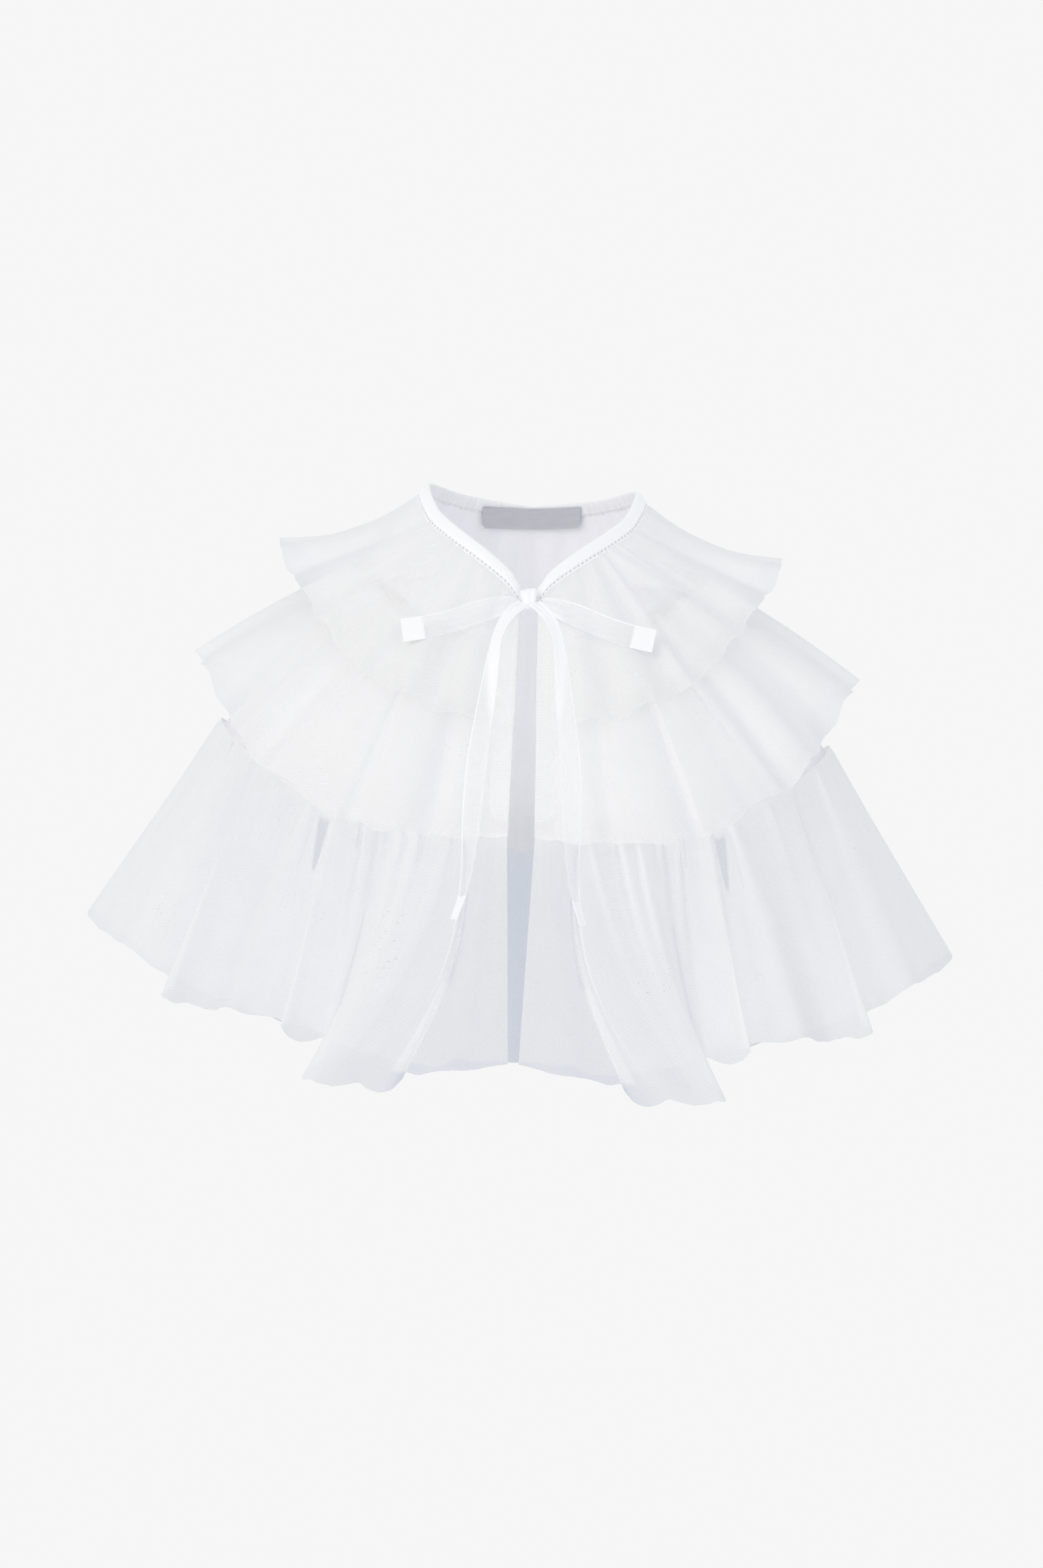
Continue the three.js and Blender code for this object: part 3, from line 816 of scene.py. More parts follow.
def net_material():
    """Nylon tulle, warp-knitted in six-sided cells and heat-set. It looks matt and milky, denser where
    folds crowd together, with soft upright streaks from the gathers and a fine grain from its cells."""
    sizes, colours = bpy.context.scene.collar_cloth, bpy.context.scene.collar_colours
    material, add, shader = new_material(
        "nylon_tulle_knitted", Roughness=0.72, IOR=1.53, Sheen_Weight=0.15)
    place = add("UVMap", uv_map=CLOTH_MAP)
    # Real cells are about 1 mm wide, too fine to show at this distance, so they are drawn coarser.
    cells = bands(add, place, sizes.net_cell, (0, 60, 120))
    threads = add("MapRange", cells, -1.5, 1.6, 1.0, 0.0)
    streaks = pattern(add, place, (4.5, 80), 3)
    clouds = pattern(add, place, (24, 28), 3, 0.6)
    grain = pattern(add, place, (1.3, 1.6), 1)
    below = add("SeparateXYZ", place).outputs["Y"]
    near_seam = add("MapRange", below, 0, 90 * MM, 0.08, 0.02)
    cover = sizes.net_cover
    for part, share in ((threads, 0.03), (streaks, near_seam), (clouds, 0.09), (grain, 0.08)):
        part = add("Math SUBTRACT", part, 0.5)
        cover = add("Math ADD", cover, add("Math MULTIPLY", part, share))
    see_through(add, shader, cover)

    # Specks of lint caught in the net, in a few patches. Real ones are half this size.
    dots = add("TexVoronoi", place, 1 / (5.5 * MM), voronoi_dimensions="2D")
    caught = add("Math LESS_THAN", dots, 0.065)
    patch = add("Math GREATER_THAN", pattern(add, place, (70, 50), 1), 0.67)
    lint = add("Math MULTIPLY", add("Math MULTIPLY", caught, patch), 0.26)
    tint = add("Mix RGBA", clouds, [v * 0.97 for v in colours.net], colours.net)
    dusty = add("Mix RGBA", lint, tint, linear("6E6E72"))
    ridges = add("Math MULTIPLY", threads, 0.15)
    height = add("Math ADD", add("Math MULTIPLY", streaks, 0.7), ridges)
    tint_and_relief(add, shader, dusty, height, 0.4, 0.1)
    return material


def lining_material():
    """Polyester lining, plain-woven and calendered. It is opaque and matt, with a faint weave and uneven
    tone, and painted shade makes it greyer towards its lower edge."""
    colours = bpy.context.scene.collar_colours
    material, add, shader = new_material("polyester_lining_woven", Roughness=0.62, Sheen_Weight=0.1)
    place = add("UVMap", uv_map=CLOTH_MAP)
    # Threads lie 0.15 mm apart, and each band here stands for six of them.
    weave = add("Math MULTIPLY", bands(add, place, 0.9 * MM, (0, 90)), 0.1)
    clouds = pattern(add, place, (26, 50))
    plies = add("Attribute", attribute_name=PLIES).outputs["Fac"]
    # The plies fall from 2 to 1 towards the lower edge, and there the colour darkens as painted shade.
    above_painted_shade = add("Math SUBTRACT", plies, 1.0, use_clamp=True)
    uneven = add("Math MULTIPLY", add("Math SUBTRACT", clouds, 0.5), 0.9)
    tone_and_painted_shade = add("Math ADD", add("Math MULTIPLY", above_painted_shade, 0.85), uneven)
    tint = add("Mix RGBA", tone_and_painted_shade, [v * 0.86 for v in colours.lining], colours.lining)
    tint_and_relief(add, shader, tint, add("Math ADD", weave, clouds), 0.6, 0.4)
    return material


def satin_material():
    """Polyester satin, woven with long floats and cut on the bias. It has a soft broad gloss, puckers
    beside its stitches, needle holes between them darkened with painted shade, and an inner side in the
    lining's colour, which painted shade makes greyer in patches."""
    colours = bpy.context.scene.collar_colours
    material, add, shader = new_material(
        "polyester_satin_bias", Roughness=0.38, IOR=1.5, Sheen_Weight=0.2, Coat_Weight=0.08)
    place = add("UVMap", uv_map=CLOTH_MAP)
    across = add("SeparateXYZ", place)
    # One hole between each stitch and the next, on the line of stitches on both faces, darkened with
    # painted shade
    beat = add("Math COSINE", add("Math MULTIPLY", across, 2 * math.pi / (STITCH_PITCH * MM)))
    hole = add("MapRange", beat, 0.45, 0.95, 0.0, 1.0)
    from_line = add("Math SUBTRACT", across.outputs["Y"], STITCH_DOWN * MM)
    line = add("MapRange", add("Math ABSOLUTE", from_line), 0.25 * MM, 0.85 * MM, 1.0, 0.0)
    dark = add("Math MULTIPLY", add("Math MULTIPLY", hole, line), 0.75)
    floats = add("Math MULTIPLY", pattern(add, place, (0.8, 5)), 0.25)
    outside = add("Attribute", attribute_name=PLIES).outputs["Fac"]
    # The inner side takes the lining's colour, darkened in patches by painted shade.
    puckers = pattern(add, place, (2, 12))
    inner_painted_shade = add("Mix RGBA", puckers, [v * 0.8 for v in colours.lining], colours.lining)
    tint = add("Mix RGBA", outside, inner_painted_shade, colours.satin)
    tint = add("Mix RGBA", dark, tint, linear("A9A9B2"))
    tint_and_relief(add, shader, tint, add("Math SUBTRACT", floats, line), 0.35, 0.6)
    return material


def organza_material():
    """Nylon organza ribbon, plain-woven from stiff fine yarn. It is sheer and crisp, with a dry sheen,
    and turns opaque white where its edges and ends are folded over."""
    colours = bpy.context.scene.collar_colours
    material, add, shader = new_material(
        "nylon_organza_ribbon", Roughness=0.48, IOR=1.53, Sheen_Weight=0.3)
    place = add("UVMap", uv_map=CLOTH_MAP)
    # Yarns lie 0.2 mm apart, and each line here stands for four of them.
    yarns = pattern(add, place, (0.8, 9), 1)
    picks = pattern(add, place, (7, 0.9), 1)
    mixed = add("Math SUBTRACT", add("Math ADD", yarns, picks), 1.0)
    cover = add("Math ADD", add("Math MULTIPLY", mixed, 0.03), 0.31, use_clamp=True)
    see_through(add, shader, cover)
    tint = add("Mix RGBA", yarns, [v * 0.96 for v in colours.organza], colours.organza)
    tint_and_relief(add, shader, tint, mixed, 0.2, 0.06)
    return material


def label_material():
    """Woven label satin, damask-loomed with slit edges. It is a smooth mid grey with fine level ribs and
    a soft gloss, and carries nothing."""
    colours = bpy.context.scene.collar_colours
    material, add, shader = new_material("satin_label_woven", Roughness=0.45, Sheen_Weight=0.15)
    place = add("UVMap", uv_map=CLOTH_MAP)
    # Ribs lie 0.25 mm apart, and each one here stands for three of them.
    far = add("Math MULTIPLY", add("SeparateXYZ", place).outputs["Y"], 2 * math.pi / (0.75 * MM))
    ribs = add("Math MULTIPLY", add("Math COSINE", far), 0.3)
    clouds = pattern(add, place, (9, 3))
    dark, pale = ([v * share for v in colours.label] for share in (0.9, 1.06))
    tint = add("Mix RGBA", clouds, dark, pale)
    tint_and_relief(add, shader, tint, add("Math ADD", ribs, clouds), 0.15, 0.4)
    return material


def thread_material():
    """Polyester sewing thread, spun and twisted. Small bright dashes with a slight gloss."""
    material, add, shader = new_material("polyester_thread_spun", Roughness=0.5)
    twist = pattern(add, add("TexCoord").outputs["Object"], (0.5, 0.5), 1)
    tint = add("Mix RGBA", twist, linear("E9E9EE"), linear("FAFAFC"))
    feed(shader.inputs["Base Color"], tint)
    return material


# Pieces


def all_folds(tier):
    """Fold lines of one half: the front table, then even folds to the back centre."""
    back = tier["back"]
    azimuth = np.linspace(back["start"], BACK_CENTRE, back["count"] + 1)
    sign = np.where(np.arange(back["count"] + 1) % 2, 1, -1)
    even = azimuth * 0
    thick = tier["folds"]["plies"][-1]
    thick = thick + (back["plies"] - thick) * rise(azimuth, *back["thinner"])
    out = sign * back["out"] * rise(azimuth, 100, 124)
    more = {"seam": azimuth, "hem": azimuth, "out": out, "drop": even, "plies": thick, "sweep": even}
    folds = {name: np.concatenate([tier["folds"][name], more[name]]) for name in more}
    folds["number"] = np.arange(len(folds["seam"]), dtype=float)
    return folds


def tier_piece(piece_name, tier, seam_share, rng):
    """A gathered tier: small folds at its seam, which open into the large ones, and a raw hem."""
    sizes = bpy.context.scene.collar_cloth
    folds = all_folds(tier)
    last = folds["number"][-1]
    number = np.linspace(0, last, int(last) * COLUMNS_PER_FOLD + 1)
    seam, hem, out, drop, thick, sweep = (smooth(folds, name, "number")(number) for name in FOLDS.split())
    hem_at = ring(tier["hem"])
    top = base_point(seam, seam_share(seam), tier["stand_off"])
    low = hem_at(hem)
    down = unit(low - top)
    low = low + out_of(hem_at, hem, down) * out[:, None] + down * drop[:, None]
    square = out_of(hem_at, seam, down)
    side = np.cross(square, down)
    bow = smooth(tier["bow"], "bow")(seam)
    length = np.linalg.norm(low - top, axis=1)
    mean_length = float(length.mean())

    # Rows lie closer together near the seam.
    row = np.linspace(0, 1, tier["rows"]) ** 1.25
    below = row * mean_length
    sewn = run_length(top)
    cut = run_length(low)
    ends = rise(number, 0, 1.2) * rise(last - number, 0, 1.0)

    kinds = np.stack(list(tier["gathers"].values()), -1) * (1, sizes.gather_depth, 1, 1, 1)
    found = [gathers(sewn, below, kind, rng) for kind in kinds]
    stand, lean, more = pleats(sewn, seam, below, tier["pleats"])
    opening = rise(below, -1, GATHERS_OPEN)[:, None]
    # The gathers are calmer among the front's pleats.
    calm = 1 - 0.6 * (1 - rise(seam, PLEATED_FRONT, PLEATED_FRONT + 6))
    lift = (sum(out for out, sway in found) * calm + stand) * opening
    hem_waves = HEM_WAVE_DEPTH * waves(cut, below * 0, HEM_WAVE_SPACING, (90, 300), rng)
    lift = lift + hem_waves * (row[:, None] ** 1.5)
    even = 1 - 0.95 * np.exp(-(((seam - SIDE_TIP) / SIDE_TIP_WIDTH) ** 2))
    lift = lift * (0.25 + 0.75 * ends) * even
    shift = (sum(sway for out, sway in found) * calm + lean) * opening * ends

    # The scissors' way: small nicks on a slow waver
    nick = 0.15 * wave(cut, 4.5, rng) + wave(cut, 14, rng)
    ragged = nick * sizes.hem_waver / MM * ends * even
    points = top + (low - top) * row[:, None, None]
    # Cloth crowds together in pleats, on the crests of gathers, and close below the seam.
    crowd = more + 0.08 * sum(out for out, sway in found) + 0.45 * np.exp(-below / 9)[:, None]
    plies = thick * np.exp(crowd) * slots(sewn, seam, below, tier["slots"])
    plies = plies * (1 - tier["hem_fade"] * rise(row, 0.8, 1)[:, None] * (1 - rise(seam, *FADED_FRONT)))
    points = points + square * (bow * np.sin(np.pi * row)[:, None] + lift)[..., None]
    points = points + side * (shift - sweep * np.sin(np.pi * row)[:, None])[..., None]
    points = points + down * (ragged * (row**6)[:, None])[..., None]
    return cloth_round(piece_name, points, cut, below[:, None], plies)


def lining_piece():
    """The lining, from under the binding to the seam of the lowest tier, with a soft fold at the back."""
    sizes = bpy.context.scene.collar_cloth
    rng = np.random.default_rng(SEED + 3)
    row = np.linspace(0, 1, 46)[:, None]
    way_round = np.linspace(0, 1, 170)[None, :]
    edge = front_azimuth(row)
    azimuth = edge + (BACK_CENTRE - edge) * way_round
    top = share_below(azimuth, BINDING_WIDTH - LINING_TUCK)
    share = top + (1 - top) * row
    plain = base_point(azimuth, share)
    off = plain[..., 0] - BACK_FOLD_START - BACK_FOLD_DRIFT * row
    inward = sizes.back_fold / MM * np.exp(-((off / np.where(off < 0, 9, 1.8)) ** 2))
    inward = inward * rise(row, 0.1, 0.3) * (0.5 + 0.7 * row)
    inward = inward * (plain[..., 1] > 0)
    sewn = run_length(plain[-1])
    # Small puckers rise from the lower seam, and broad slack folds fall from the neck.
    puckers = waves(sewn, (1 - row[:, 0]) * LINING_LENGTH, 9, (14, 40), rng) + 1
    slack = waves(sewn, row[:, 0] * 100, 30, (60, 200), rng) + 1
    points = base_point(azimuth, share, -(inward + 0.5 * puckers + 1.5 * slack * rise(row, 0, 0.12)))
    # The plies fall from 2 to 1 towards the lower edge, where the lining's material paints shade.
    return cloth_round("cape_lining", points, sewn, row * LINING_LENGTH, 2 - rise(row, 0.75, 1))


def binding_frame(count):
    """Places along the neckline's middle line: centre, way down, way out and distance along."""
    azimuth = np.linspace(BINDING_START, BACK_CENTRE, count)
    top = base_point(azimuth, 0, STEP_OUT / 2)
    low = base_point(azimuth, share_below(azimuth, BINDING_WIDTH), STEP_OUT / 2)
    down = unit(low - top)
    out = out_of(base_edge_at, azimuth, down)
    centre = (top + low) / 2
    centre[-1, 0] = 0
    return centre, down, out, run_length(centre)


def binding_piece():
    """The bias band that folds over the neckline's raw edges, open along the slit where they go in. Its
    PLIES are 1 outside and 0 inside, where the satin material gives it the lining's colour with painted
    shade."""
    rng = np.random.default_rng(SEED + 5)
    centre, down, out, along = binding_frame(190)
    turn = np.linspace(BINDING_SLIT, 1 - BINDING_SLIT, 34) * 2 * np.pi
    across, side = squarer(np.cos(turn), 0.8), squarer(np.sin(turn), 0.8)
    fall = BINDING_WIDTH / 2 * across
    stitched = np.exp(-(((fall + BINDING_WIDTH / 2 - STITCH_DOWN) / GROOVE_WIDTH) ** 2))
    pucker = wave(along, 2.3, rng)
    swell = wave(along, 19, rng)
    thick = (BINDING_THICK / 2 - 0.1) * (1 + 0.05 * swell)[:, None]
    thick = thick * (1 - stitched * (GROOVE_DEPTH + 0.14 * pucker[:, None]))
    thick = thick * (0.25 + 0.75 * rise(along, 0, 2.5)[:, None])
    points = centre[:, None] + down[:, None] * fall[:, None] + out[:, None] * (-side * thick)[..., None]
    outside = 1 - rise(side, -0.25, 0.25)[:, None]
    down_flat = (fall + BINDING_WIDTH / 2)[:, None]
    return cloth_round("neck_binding_satin", points.transpose(1, 0, 2), along, down_flat, outside)


def stitches_piece():
    """Two rows of stitches through the binding, one on each face. A small slim bead stands for each."""
    centre, down, out, along = binding_frame(400)
    starts = np.arange(STITCH_PITCH, along[-1] - 0.3 * STITCH_PITCH, STITCH_PITCH)
    starts = starts + (along[-1] - STITCH_PITCH * np.floor(along[-1] / STITCH_PITCH)) - STITCH_PITCH / 2
    read = lambda line: np.stack([np.interp(starts, along, part) for part in line.T], -1)[:, None, None]
    around = np.linspace(0, 2 * np.pi, 7)[:-1, None]
    length = np.linspace(-1, 1, 6)[:, None, None]
    girth = STITCH_THICK / 2 * np.sqrt(np.maximum(1 - length**2, 0.02))
    number = np.arange(36).reshape(6, 6)
    turned = np.roll(number, -1, axis=1)
    quads = np.stack([number[:-1], turned[:-1], turned[1:], number[1:]], -1).reshape(-1, 4)
    bead = [*quads.tolist(), [5, 4, 3, 2, 1, 0], [30, 31, 32, 33, 34, 35]]
    beads, faces = [], []
    for face in (1, -1):
        fall, rise_out = read(down), read(out) * face
        middle = read(centre) + fall * (STITCH_DOWN - BINDING_WIDTH / 2) + rise_out * 0.26 * BINDING_THICK
        v = middle + unit(np.cross(fall, rise_out)) * length * (STITCH_LENGTH / 2)
        v = v + fall * girth * np.cos(around) + rise_out * girth * np.sin(around)
        for one in v:
            for mirror in (1, -1):
                first = 36 * len(beads)
                beads.append((one * (mirror, 1, 1)).reshape(-1, 3))
                faces += [[first + i for i in side[:: mirror * face]] for side in bead]
    piece = new_object("binding_stitches", hang(np.concatenate(beads)).tolist(), faces)
    piece.data.shade_smooth()
    return piece


def facing_piece(side, rng):
    """A strip of net folded double down one front edge, with its fold along the opening."""
    row = np.linspace(0, 1, 60)[:, None]
    front = np.linspace(1, 0, 12)
    back = np.linspace(0, 0.94, 10)
    beyond = np.concatenate([front, -0.035 * np.sin(FOLD), back])[None, :] * FACING_WIDTH
    layer = np.concatenate([front * 0 + 1, 0.5 + 0.5 * np.cos(FOLD), back * 0])[None, :]
    reach = np.clip(beyond / FACING_WIDTH, 0, 1)
    round_off = FACING_ROUND * (1 - np.sqrt(1 - reach**2))
    length = float(base_length(0.0))
    top = float(share_below(0.0, BINDING_WIDTH + 4))
    share = top + (FACING_END - round_off / length - top) * row
    # It leaves the binding close to the lining, and stands off it fully from a quarter of the way down.
    stand = 2 * STEP_OUT + 0.3 + (FACING_STAND - 2 * STEP_OUT - 0.3) * np.minimum(share * 4, 1)
    sewn = row[:, 0] * length
    ripple = wave(sewn, 8, rng)[:, None] * 0.3 * (0.3 + reach)
    stand = stand + layer * FACING_PLY_GAP - FACING_PLY_GAP / 2 + ripple
    points = base_point(np.maximum(front_azimuth(share, beyond), 0.01), share, stand)
    points[..., 0] *= side
    plies = 1 + 0.9 * (1 - rise(reach, 0.4, 1)) * (1 - rise(row, 0.5, 1))
    if side > 0:
        points, plies = points[:, ::-1], plies[:, ::-1]
    word = "right" if side > 0 else "left"
    return cloth(f"front_facing_{word}_net", points, (laid_flat(beyond), row * length), plies)


def label_piece():
    """The bare label, a flat tape with its two ends folded under, sewn in below the neckline."""
    trim = bpy.context.scene.collar_trim
    half, height, top = trim.label_width / MM / 2, trim.label_height / MM, trim.label_top / MM
    left_end = np.concatenate([np.linspace(-half + LABEL_TURNED, -half, 5), -half - 0.28 * np.sin(FOLD)])
    x = np.concatenate([left_end, np.linspace(-half, half, 60), -left_end[::-1]])[None, :]
    left_deep = np.concatenate([np.ones(5), 0.5 + 0.5 * np.cos(FOLD)])
    deep = np.concatenate([left_deep, np.zeros(60), left_deep[::-1]])[None, :]
    past = np.clip((np.abs(x) - half + LABEL_CORNER) / LABEL_CORNER, 0, 1)
    fall = np.linspace(0, 1, 14)[:, None] * (height - LABEL_CORNER * (1 - np.sqrt(1 - past**2)))
    sideways = np.abs(np.clip(x, -half, half)) / NECKLINE["across"][-1]
    azimuth = BACK_CENTRE - np.degrees(np.arcsin(sideways))
    rim = neckline_at(azimuth)[..., 2] - NECKLINE["height"][-1]
    below = top + rim + fall - x * LABEL_TILT
    billow = 0.35 * np.sin(x / 8.5) * (fall / height) + 0.8 * (fall / height) ** 2
    inside = -(LABEL_INSIDE + billow) + deep * LABEL_GAP
    points = base_point(azimuth, share_below(azimuth, below), inside)
    points[..., 0] = x
    return cloth("neck_label_satin", points, (laid_flat(x), fall), 2.0)


def knot_piece():
    """The knot: one turn of ribbon wrapped round both ends, crushed into lengthwise creases."""
    half = bpy.context.scene.collar_trim.knot_width / MM / 2 * 0.76
    low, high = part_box("tie_knot")
    centre = [(a + b) / 2 / MM for a, b in zip(low, high)]
    deep, tall = (high[1] - low[1]) / MM / 2 * 0.94, (high[2] - low[2]) / MM / 2 * 0.92
    across = np.sin(np.linspace(-np.pi / 2, np.pi / 2, 36))[None, :]
    turn = np.linspace(0, 2 * np.pi, 65)[:-1, None]
    crown = (1 - np.abs(across) ** 6) ** (1 / 3.5)
    fore, rise_up = squarer(np.sin(turn), 0.75), squarer(np.cos(turn), 0.75)
    crease = 0.04 * np.cos(across * 8 + 0.9 * np.sin(turn))
    crease = crease + 0.012 * np.cos(across * 21 + 1.6 * np.cos(turn))
    size = crown * (1 + crease * (1 - across**4) - 0.08 * across * np.sin(turn))
    lean = -0.12 * np.cos(turn) * tall
    x = centre[0] + half * across * (1 + 0.26 * np.cos(turn)) + lean * size
    y = centre[1] - deep * size * fore
    z = centre[2] + tall * size * rise_up + 0.24 * half * across
    points = np.stack(np.broadcast_arrays(x, y, z), -1)
    flat = (turn * 6).T, (across * half).T
    return cloth("tie_knot_wrap", points.transpose(1, 0, 2), flat, OPAQUE, round_columns=True)


def ribbon_piece(name, path, side, rng, selvedge, crushed, opened, creases, tip):
    """A ribbon along its middle line. One edge is turned under by what its flat width leaves over.
    `selvedge` is the plies that the other edge adds, `crushed` the plies that the part by the knot adds
    until it has `opened`, `creases` how deep it is creased there, and `tip` the hemmed end's length."""
    flat_width = bpy.context.scene.collar_trim.ribbon_width / MM
    count = len(path["x"])
    rows = dict(path, number=np.arange(count, dtype=float))
    t = np.linspace(0, count - 1, (count - 1) * 14 + 1)
    x, y, z, width, turn = (smooth(rows, column, "number")(t) for column in RIBBON.split())
    middle = np.stack([x, y, z], -1)
    along = unit(np.gradient(middle, axis=0))
    flat_way = unit(np.cross([0, 1, 0], along))
    angle = np.radians(-turn)[:, None]
    across = flat_way * np.cos(angle) + np.cross(along, flat_way) * np.sin(angle)
    face = np.cross(across, along)
    far = run_length(middle)

    spread = np.array(
        [-1, -0.95, -0.9, -0.83, -0.7, -0.55, -0.35, -0.15, 0.15, 0.35, 0.55, 0.7, 0.84, 0.93, 1])
    back = np.linspace(0, 1, 9)
    turned = np.clip(flat_width - width, 0.9, 0.93 * width)[:, None]
    half = width[:, None] / 2
    place = np.concatenate([spread * half, half + 0.2 * np.sin(FOLD), half - turned * back], axis=1)
    layer = np.concatenate([spread * 0, 0.5 - 0.5 * np.cos(FOLD), back * 0 + 1])[None, :]
    phase = place / half
    crush = creases * np.exp(-far / 16)[:, None] * np.cos(phase * 2.6 * np.pi + 0.6)
    curl = 0.3 * np.sin(far / 17)[:, None] * phase**2 + 0.15 * wave(far, 13, rng)[:, None]
    offset = crush + curl - layer * RIBBON_GAP
    points = middle[:, None] + across[:, None] * place[..., None] + face[:, None] * offset[..., None]
    points[..., 0] *= side
    plies = 1 + selvedge * (1 - rise(phase, -0.93, -0.84)) - 0.65 * layer
    plies = plies + OPAQUE * rise(far, far[-1] - tip - 1.2, far[-1] - tip)[:, None]
    still = 1 - rise(far[:, None] - 16 * phase * min(opened / 60, 1), 0.4 * opened, opened)
    plies = plies + crushed * still * (0.35 + 0.65 * rise(far, 5, 15))[:, None]
    flat_x = laid_flat(place)
    if side > 0:
        points, flat_x, plies = points[:, ::-1], flat_x[:, ::-1], plies[:, ::-1]
    return cloth(name, points, (flat_x, far[:, None]), plies)


# Operators


class MakeStage(bpy.types.Operator):
    """Makes the pale floor, the studio light and the camera"""

    bl_idname = "collar.make_stage"
    bl_label = "Stage, light and camera"

    def execute(self, context):
        scene, colours = context.scene, context.scene.collar_colours
        camera_data = bpy.data.cameras.new("photo_camera")
        camera_data.sensor_fit = "VERTICAL"
        camera_data.sensor_height = SENSOR
        camera_data.lens = SENSOR * CAMERA_DISTANCE / VIEW_HEIGHT
        camera_data.clip_end = 50
        place, turn = (0.0004, -CAMERA_DISTANCE, CAMERA_HEIGHT), (math.pi / 2, -CAMERA_ROLL, 0)
        scene.camera = put("photo_camera", camera_data, place, turn)
        scene.view_settings.view_transform = "Standard"
        scene.cycles.transparent_max_bounces = 40
        scene.cycles.max_bounces = 16
        scene.cycles.diffuse_bounces = 10

        paper, add, shader = new_material("paper_backdrop_matt", Roughness=0.9)
        nodes = paper.node_tree.nodes
        feed(nodes["Material Output"].inputs["Surface"], add("Emission", colours.backdrop, 1.0))
        nodes.remove(shader)
        reach, floor_height = 2.6, -1.1
        corners = [(x * reach, y * reach, floor_height) for x, y in ((-1, -1), (1, -1), (1, 1), (-1, 1))]
        floor = new_object("studio_floor", corners, [(0, 1, 2, 3)])
        floor.data.materials.append(paper)
        floor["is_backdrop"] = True

        world = bpy.data.worlds.new("studio_walls")
        scene.world = world
        world.use_nodes = True
        add = partial(add_node, world.node_tree)
        # A darker blue-grey wall shows through the cloth, and the pale ground round it. The light that
        # comes from the walls is even.
        path = add("LightPath").outputs
        through = add("Math GREATER_THAN", path["Transparent Depth"], 0.5)
        wall = add("Mix RGBA", through, colours.backdrop, colours.behind)
        seen = add("Mix RGBA", path["Is Camera Ray"], colours.studio, wall)
        feed(world.node_tree.nodes["Background"].inputs["Color"], seen)

        for name, place, size, power, tint in (
            ("key_softbox", (-1.5, -2.3, 1.1), 1.5, 16.0, linear("FFF5E4")),
            ("fill_softbox", (1.9, -2.0, 0.3), 1.6, 1.6, linear("F4F8FF")),
        ):
            light = bpy.data.lights.new(name, "AREA")
            light.shape, light.size, light.energy = "SQUARE", size, power
            light.color = tint
            aim = Vector((0, 0, -0.18)) - Vector(place)
            put(name, light, place, aim.to_track_quat("-Z", "Y").to_euler())
        return {"FINISHED"}


class MakeLining(bpy.types.Operator):
    """Makes the opaque lining that the tiers are sewn to"""

    bl_idname = "collar.make_lining"
    bl_label = "Lining"

    def execute(self, context):
        piece = dress(lining_piece(), "base_cape", lining_material())
        return {"FINISHED"}


class MakeTiers(bpy.types.Operator):
    """Makes the three gathered tiers of net"""

    bl_idname = "collar.make_tiers"
    bl_label = "Net tiers"

    def execute(self, context):
        rng = np.random.default_rng(SEED)
        net = net_material()
        under_binding = lambda azimuth: share_below(azimuth, BINDING_WIDTH - TIER_TUCK)
        middle_seam = smooth(MIDDLE_SEAM, "share")
        low_seam = lambda azimuth: np.full(np.shape(azimuth), BOTTOM_SEAM)
        for name, node, tier, seam, flat, hung_from in (
            ("net_tier_top", "ruffle_top", TOP_TIER, under_binding, (1.0, 0.088), "neck_binding"),
            ("net_tier_middle", "ruffle_middle", MIDDLE_TIER, middle_seam, (1.45, 0.12), "base_cape"),
            ("net_tier_bottom", "ruffle_bottom", BOTTOM_TIER, low_seam, (1.8, 0.155), "base_cape"),
        ):
            piece = dress(tier_piece(name, tier, seam, rng), node, net)
            # Net lets most of the light through, so it throws no shadow to speak of.
            piece.visible_shadow = False
        return {"FINISHED"}


class MakeBinding(bpy.types.Operator):
    """Makes the satin binding round the neckline, with its stitches"""

    bl_idname = "collar.make_binding"
    bl_label = "Neck binding"

    def execute(self, context):
        stitches = dress(stitches_piece(), None, thread_material())
        piece = dress(binding_piece(), "neck_binding", satin_material())
        return {"FINISHED"}


class MakeFacings(bpy.types.Operator):
    """Makes the doubled strips of net down both front edges"""

    bl_idname = "collar.make_facings"
    bl_label = "Front facings"

    def execute(self, context):
        rng = np.random.default_rng(SEED + 7)
        net = bpy.data.materials["nylon_tulle_knitted"]
        for side, word in ((-1, "left"), (1, "right")):
            piece = dress(facing_piece(side, rng), f"front_facing_{word}", net)
            piece.visible_shadow = False
        return {"FINISHED"}


class MakeLabel(bpy.types.Operator):
    """Makes the bare label inside the back of the neck"""

    bl_idname = "collar.make_label"
    bl_label = "Neck label"

    def execute(self, context):
        piece = dress(label_piece(), "neck_label", label_material())
        return {"FINISHED"}


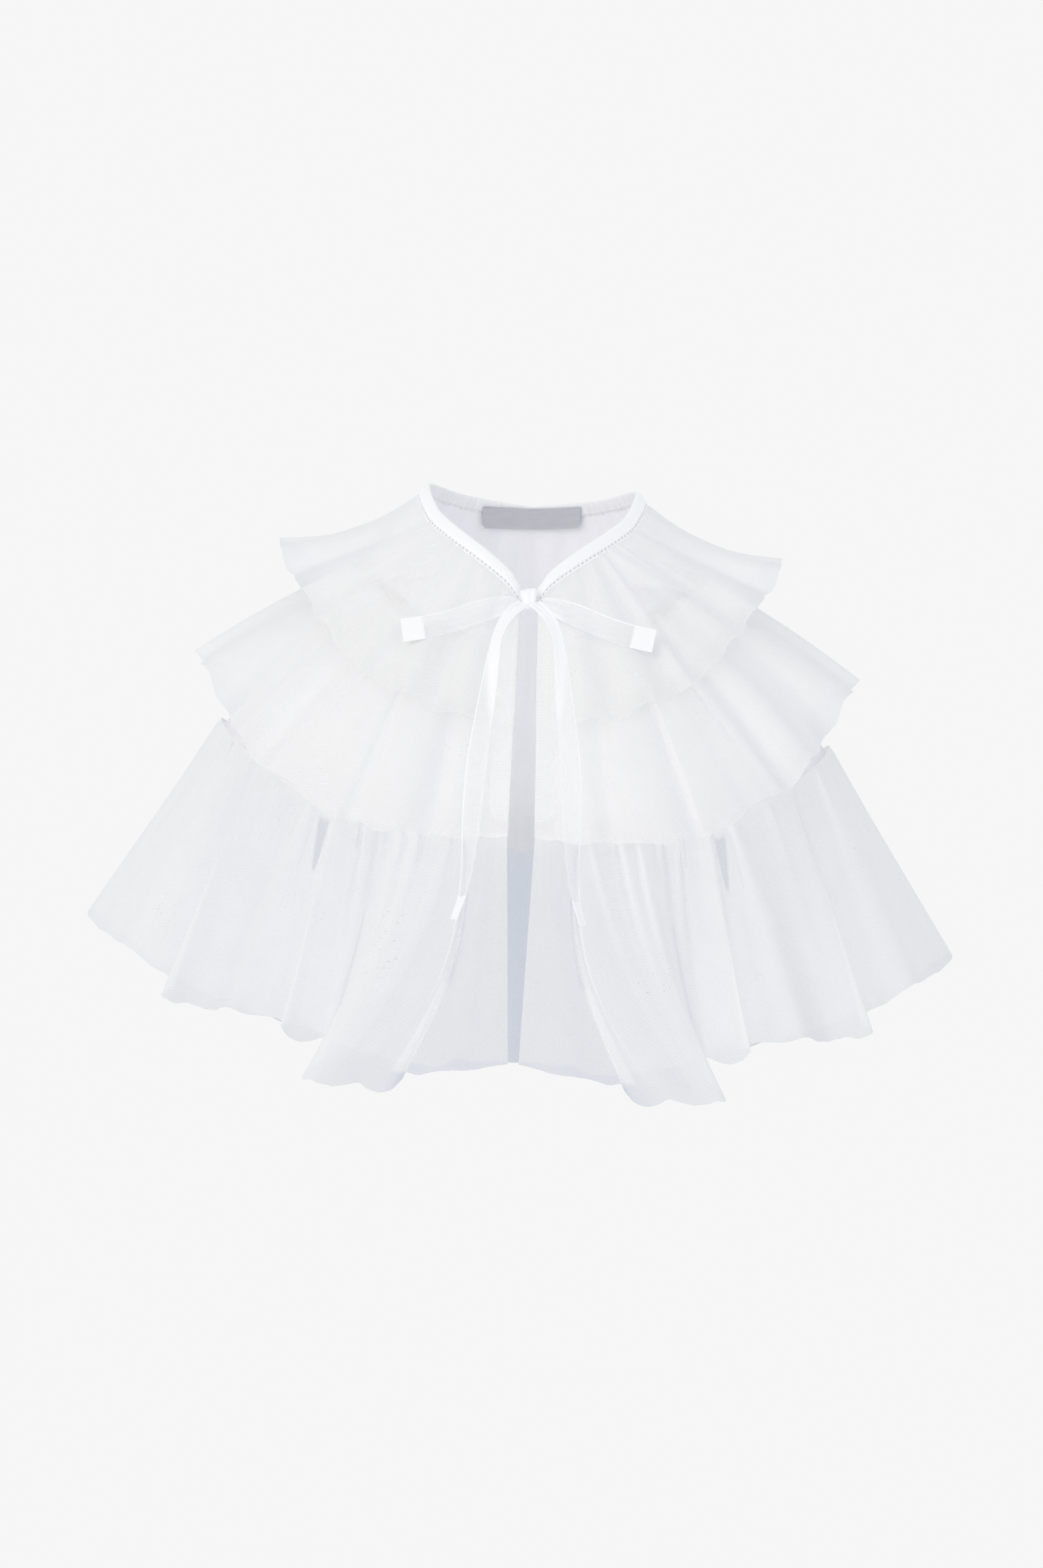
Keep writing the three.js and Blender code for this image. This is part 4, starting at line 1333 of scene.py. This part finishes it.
class MakeTie(bpy.types.Operator):
    """Makes the knot and the four ends of the ribbon tie"""

    bl_idname = "collar.make_tie"
    bl_label = "Ribbon tie"

    def execute(self, context):
        rng = np.random.default_rng(SEED + 11)
        organza = organza_material()
        knot = dress(knot_piece(), "tie_knot", organza)
        for side, word in ((-1, "left"), (1, "right")):
            end = ribbon_piece(f"tie_end_{word}_organza", TIE_END_PATH, side, rng,
                               selvedge=2.0, crushed=2.0, opened=18, creases=0.5, tip=12)
            dress(end, f"tie_end_{word}", organza)
            tail = ribbon_piece(f"tie_tail_{word}_organza", TIE_TAIL_PATH, side, rng,
                                selvedge=9.0, crushed=7.0, opened=85, creases=0.4, tip=13)
            dress(tail, f"tie_tail_{word}", organza)
            tail.visible_shadow = False
        return {"FINISHED"}


class CollarPanel(bpy.types.Panel):
    """Lists the pieces of the collar, with their sizes and colours"""

    bl_idname = "VIEW3D_PT_net_collar"
    bl_label = "Net collar"
    bl_space_type = "VIEW_3D"
    bl_region_type = "UI"
    bl_category = "Net collar"

    def draw(self, context):
        for operator in OPERATORS:
            self.layout.operator(operator.bl_idname)
        for name, group in GROUPS.items():
            for field in group.__annotations__:
                self.layout.prop(getattr(context.scene, name), field)


GROUPS = {"collar_cloth": ClothSizes, "collar_trim": TrimSizes, "collar_colours": Colours}
OPERATORS = (MakeStage, MakeLining, MakeTiers, MakeBinding, MakeFacings, MakeLabel, MakeTie)


def register():
    for part in (*GROUPS.values(), *OPERATORS, CollarPanel):
        bpy.utils.register_class(part)
    for name, group in GROUPS.items():
        setattr(bpy.types.Scene, name, PointerProperty(type=group))


def unregister():
    for name in GROUPS:
        delattr(bpy.types.Scene, name)
    for part in (CollarPanel, *reversed(OPERATORS), *GROUPS.values()):
        bpy.utils.unregister_class(part)


def main():
    register()
    bpy.ops.collar.make_stage()
    bpy.ops.collar.make_lining()
    bpy.ops.collar.make_tiers()
    bpy.ops.collar.make_binding()
    bpy.ops.collar.make_facings()
    bpy.ops.collar.make_label()
    bpy.ops.collar.make_tie()
    plain = lambda box: [[float(v) for v in corner] for corner in box]
    {"cad_box": plain(CAD_BOX), "visual_box": plain(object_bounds())}


if __name__ == "__main__":
    main()
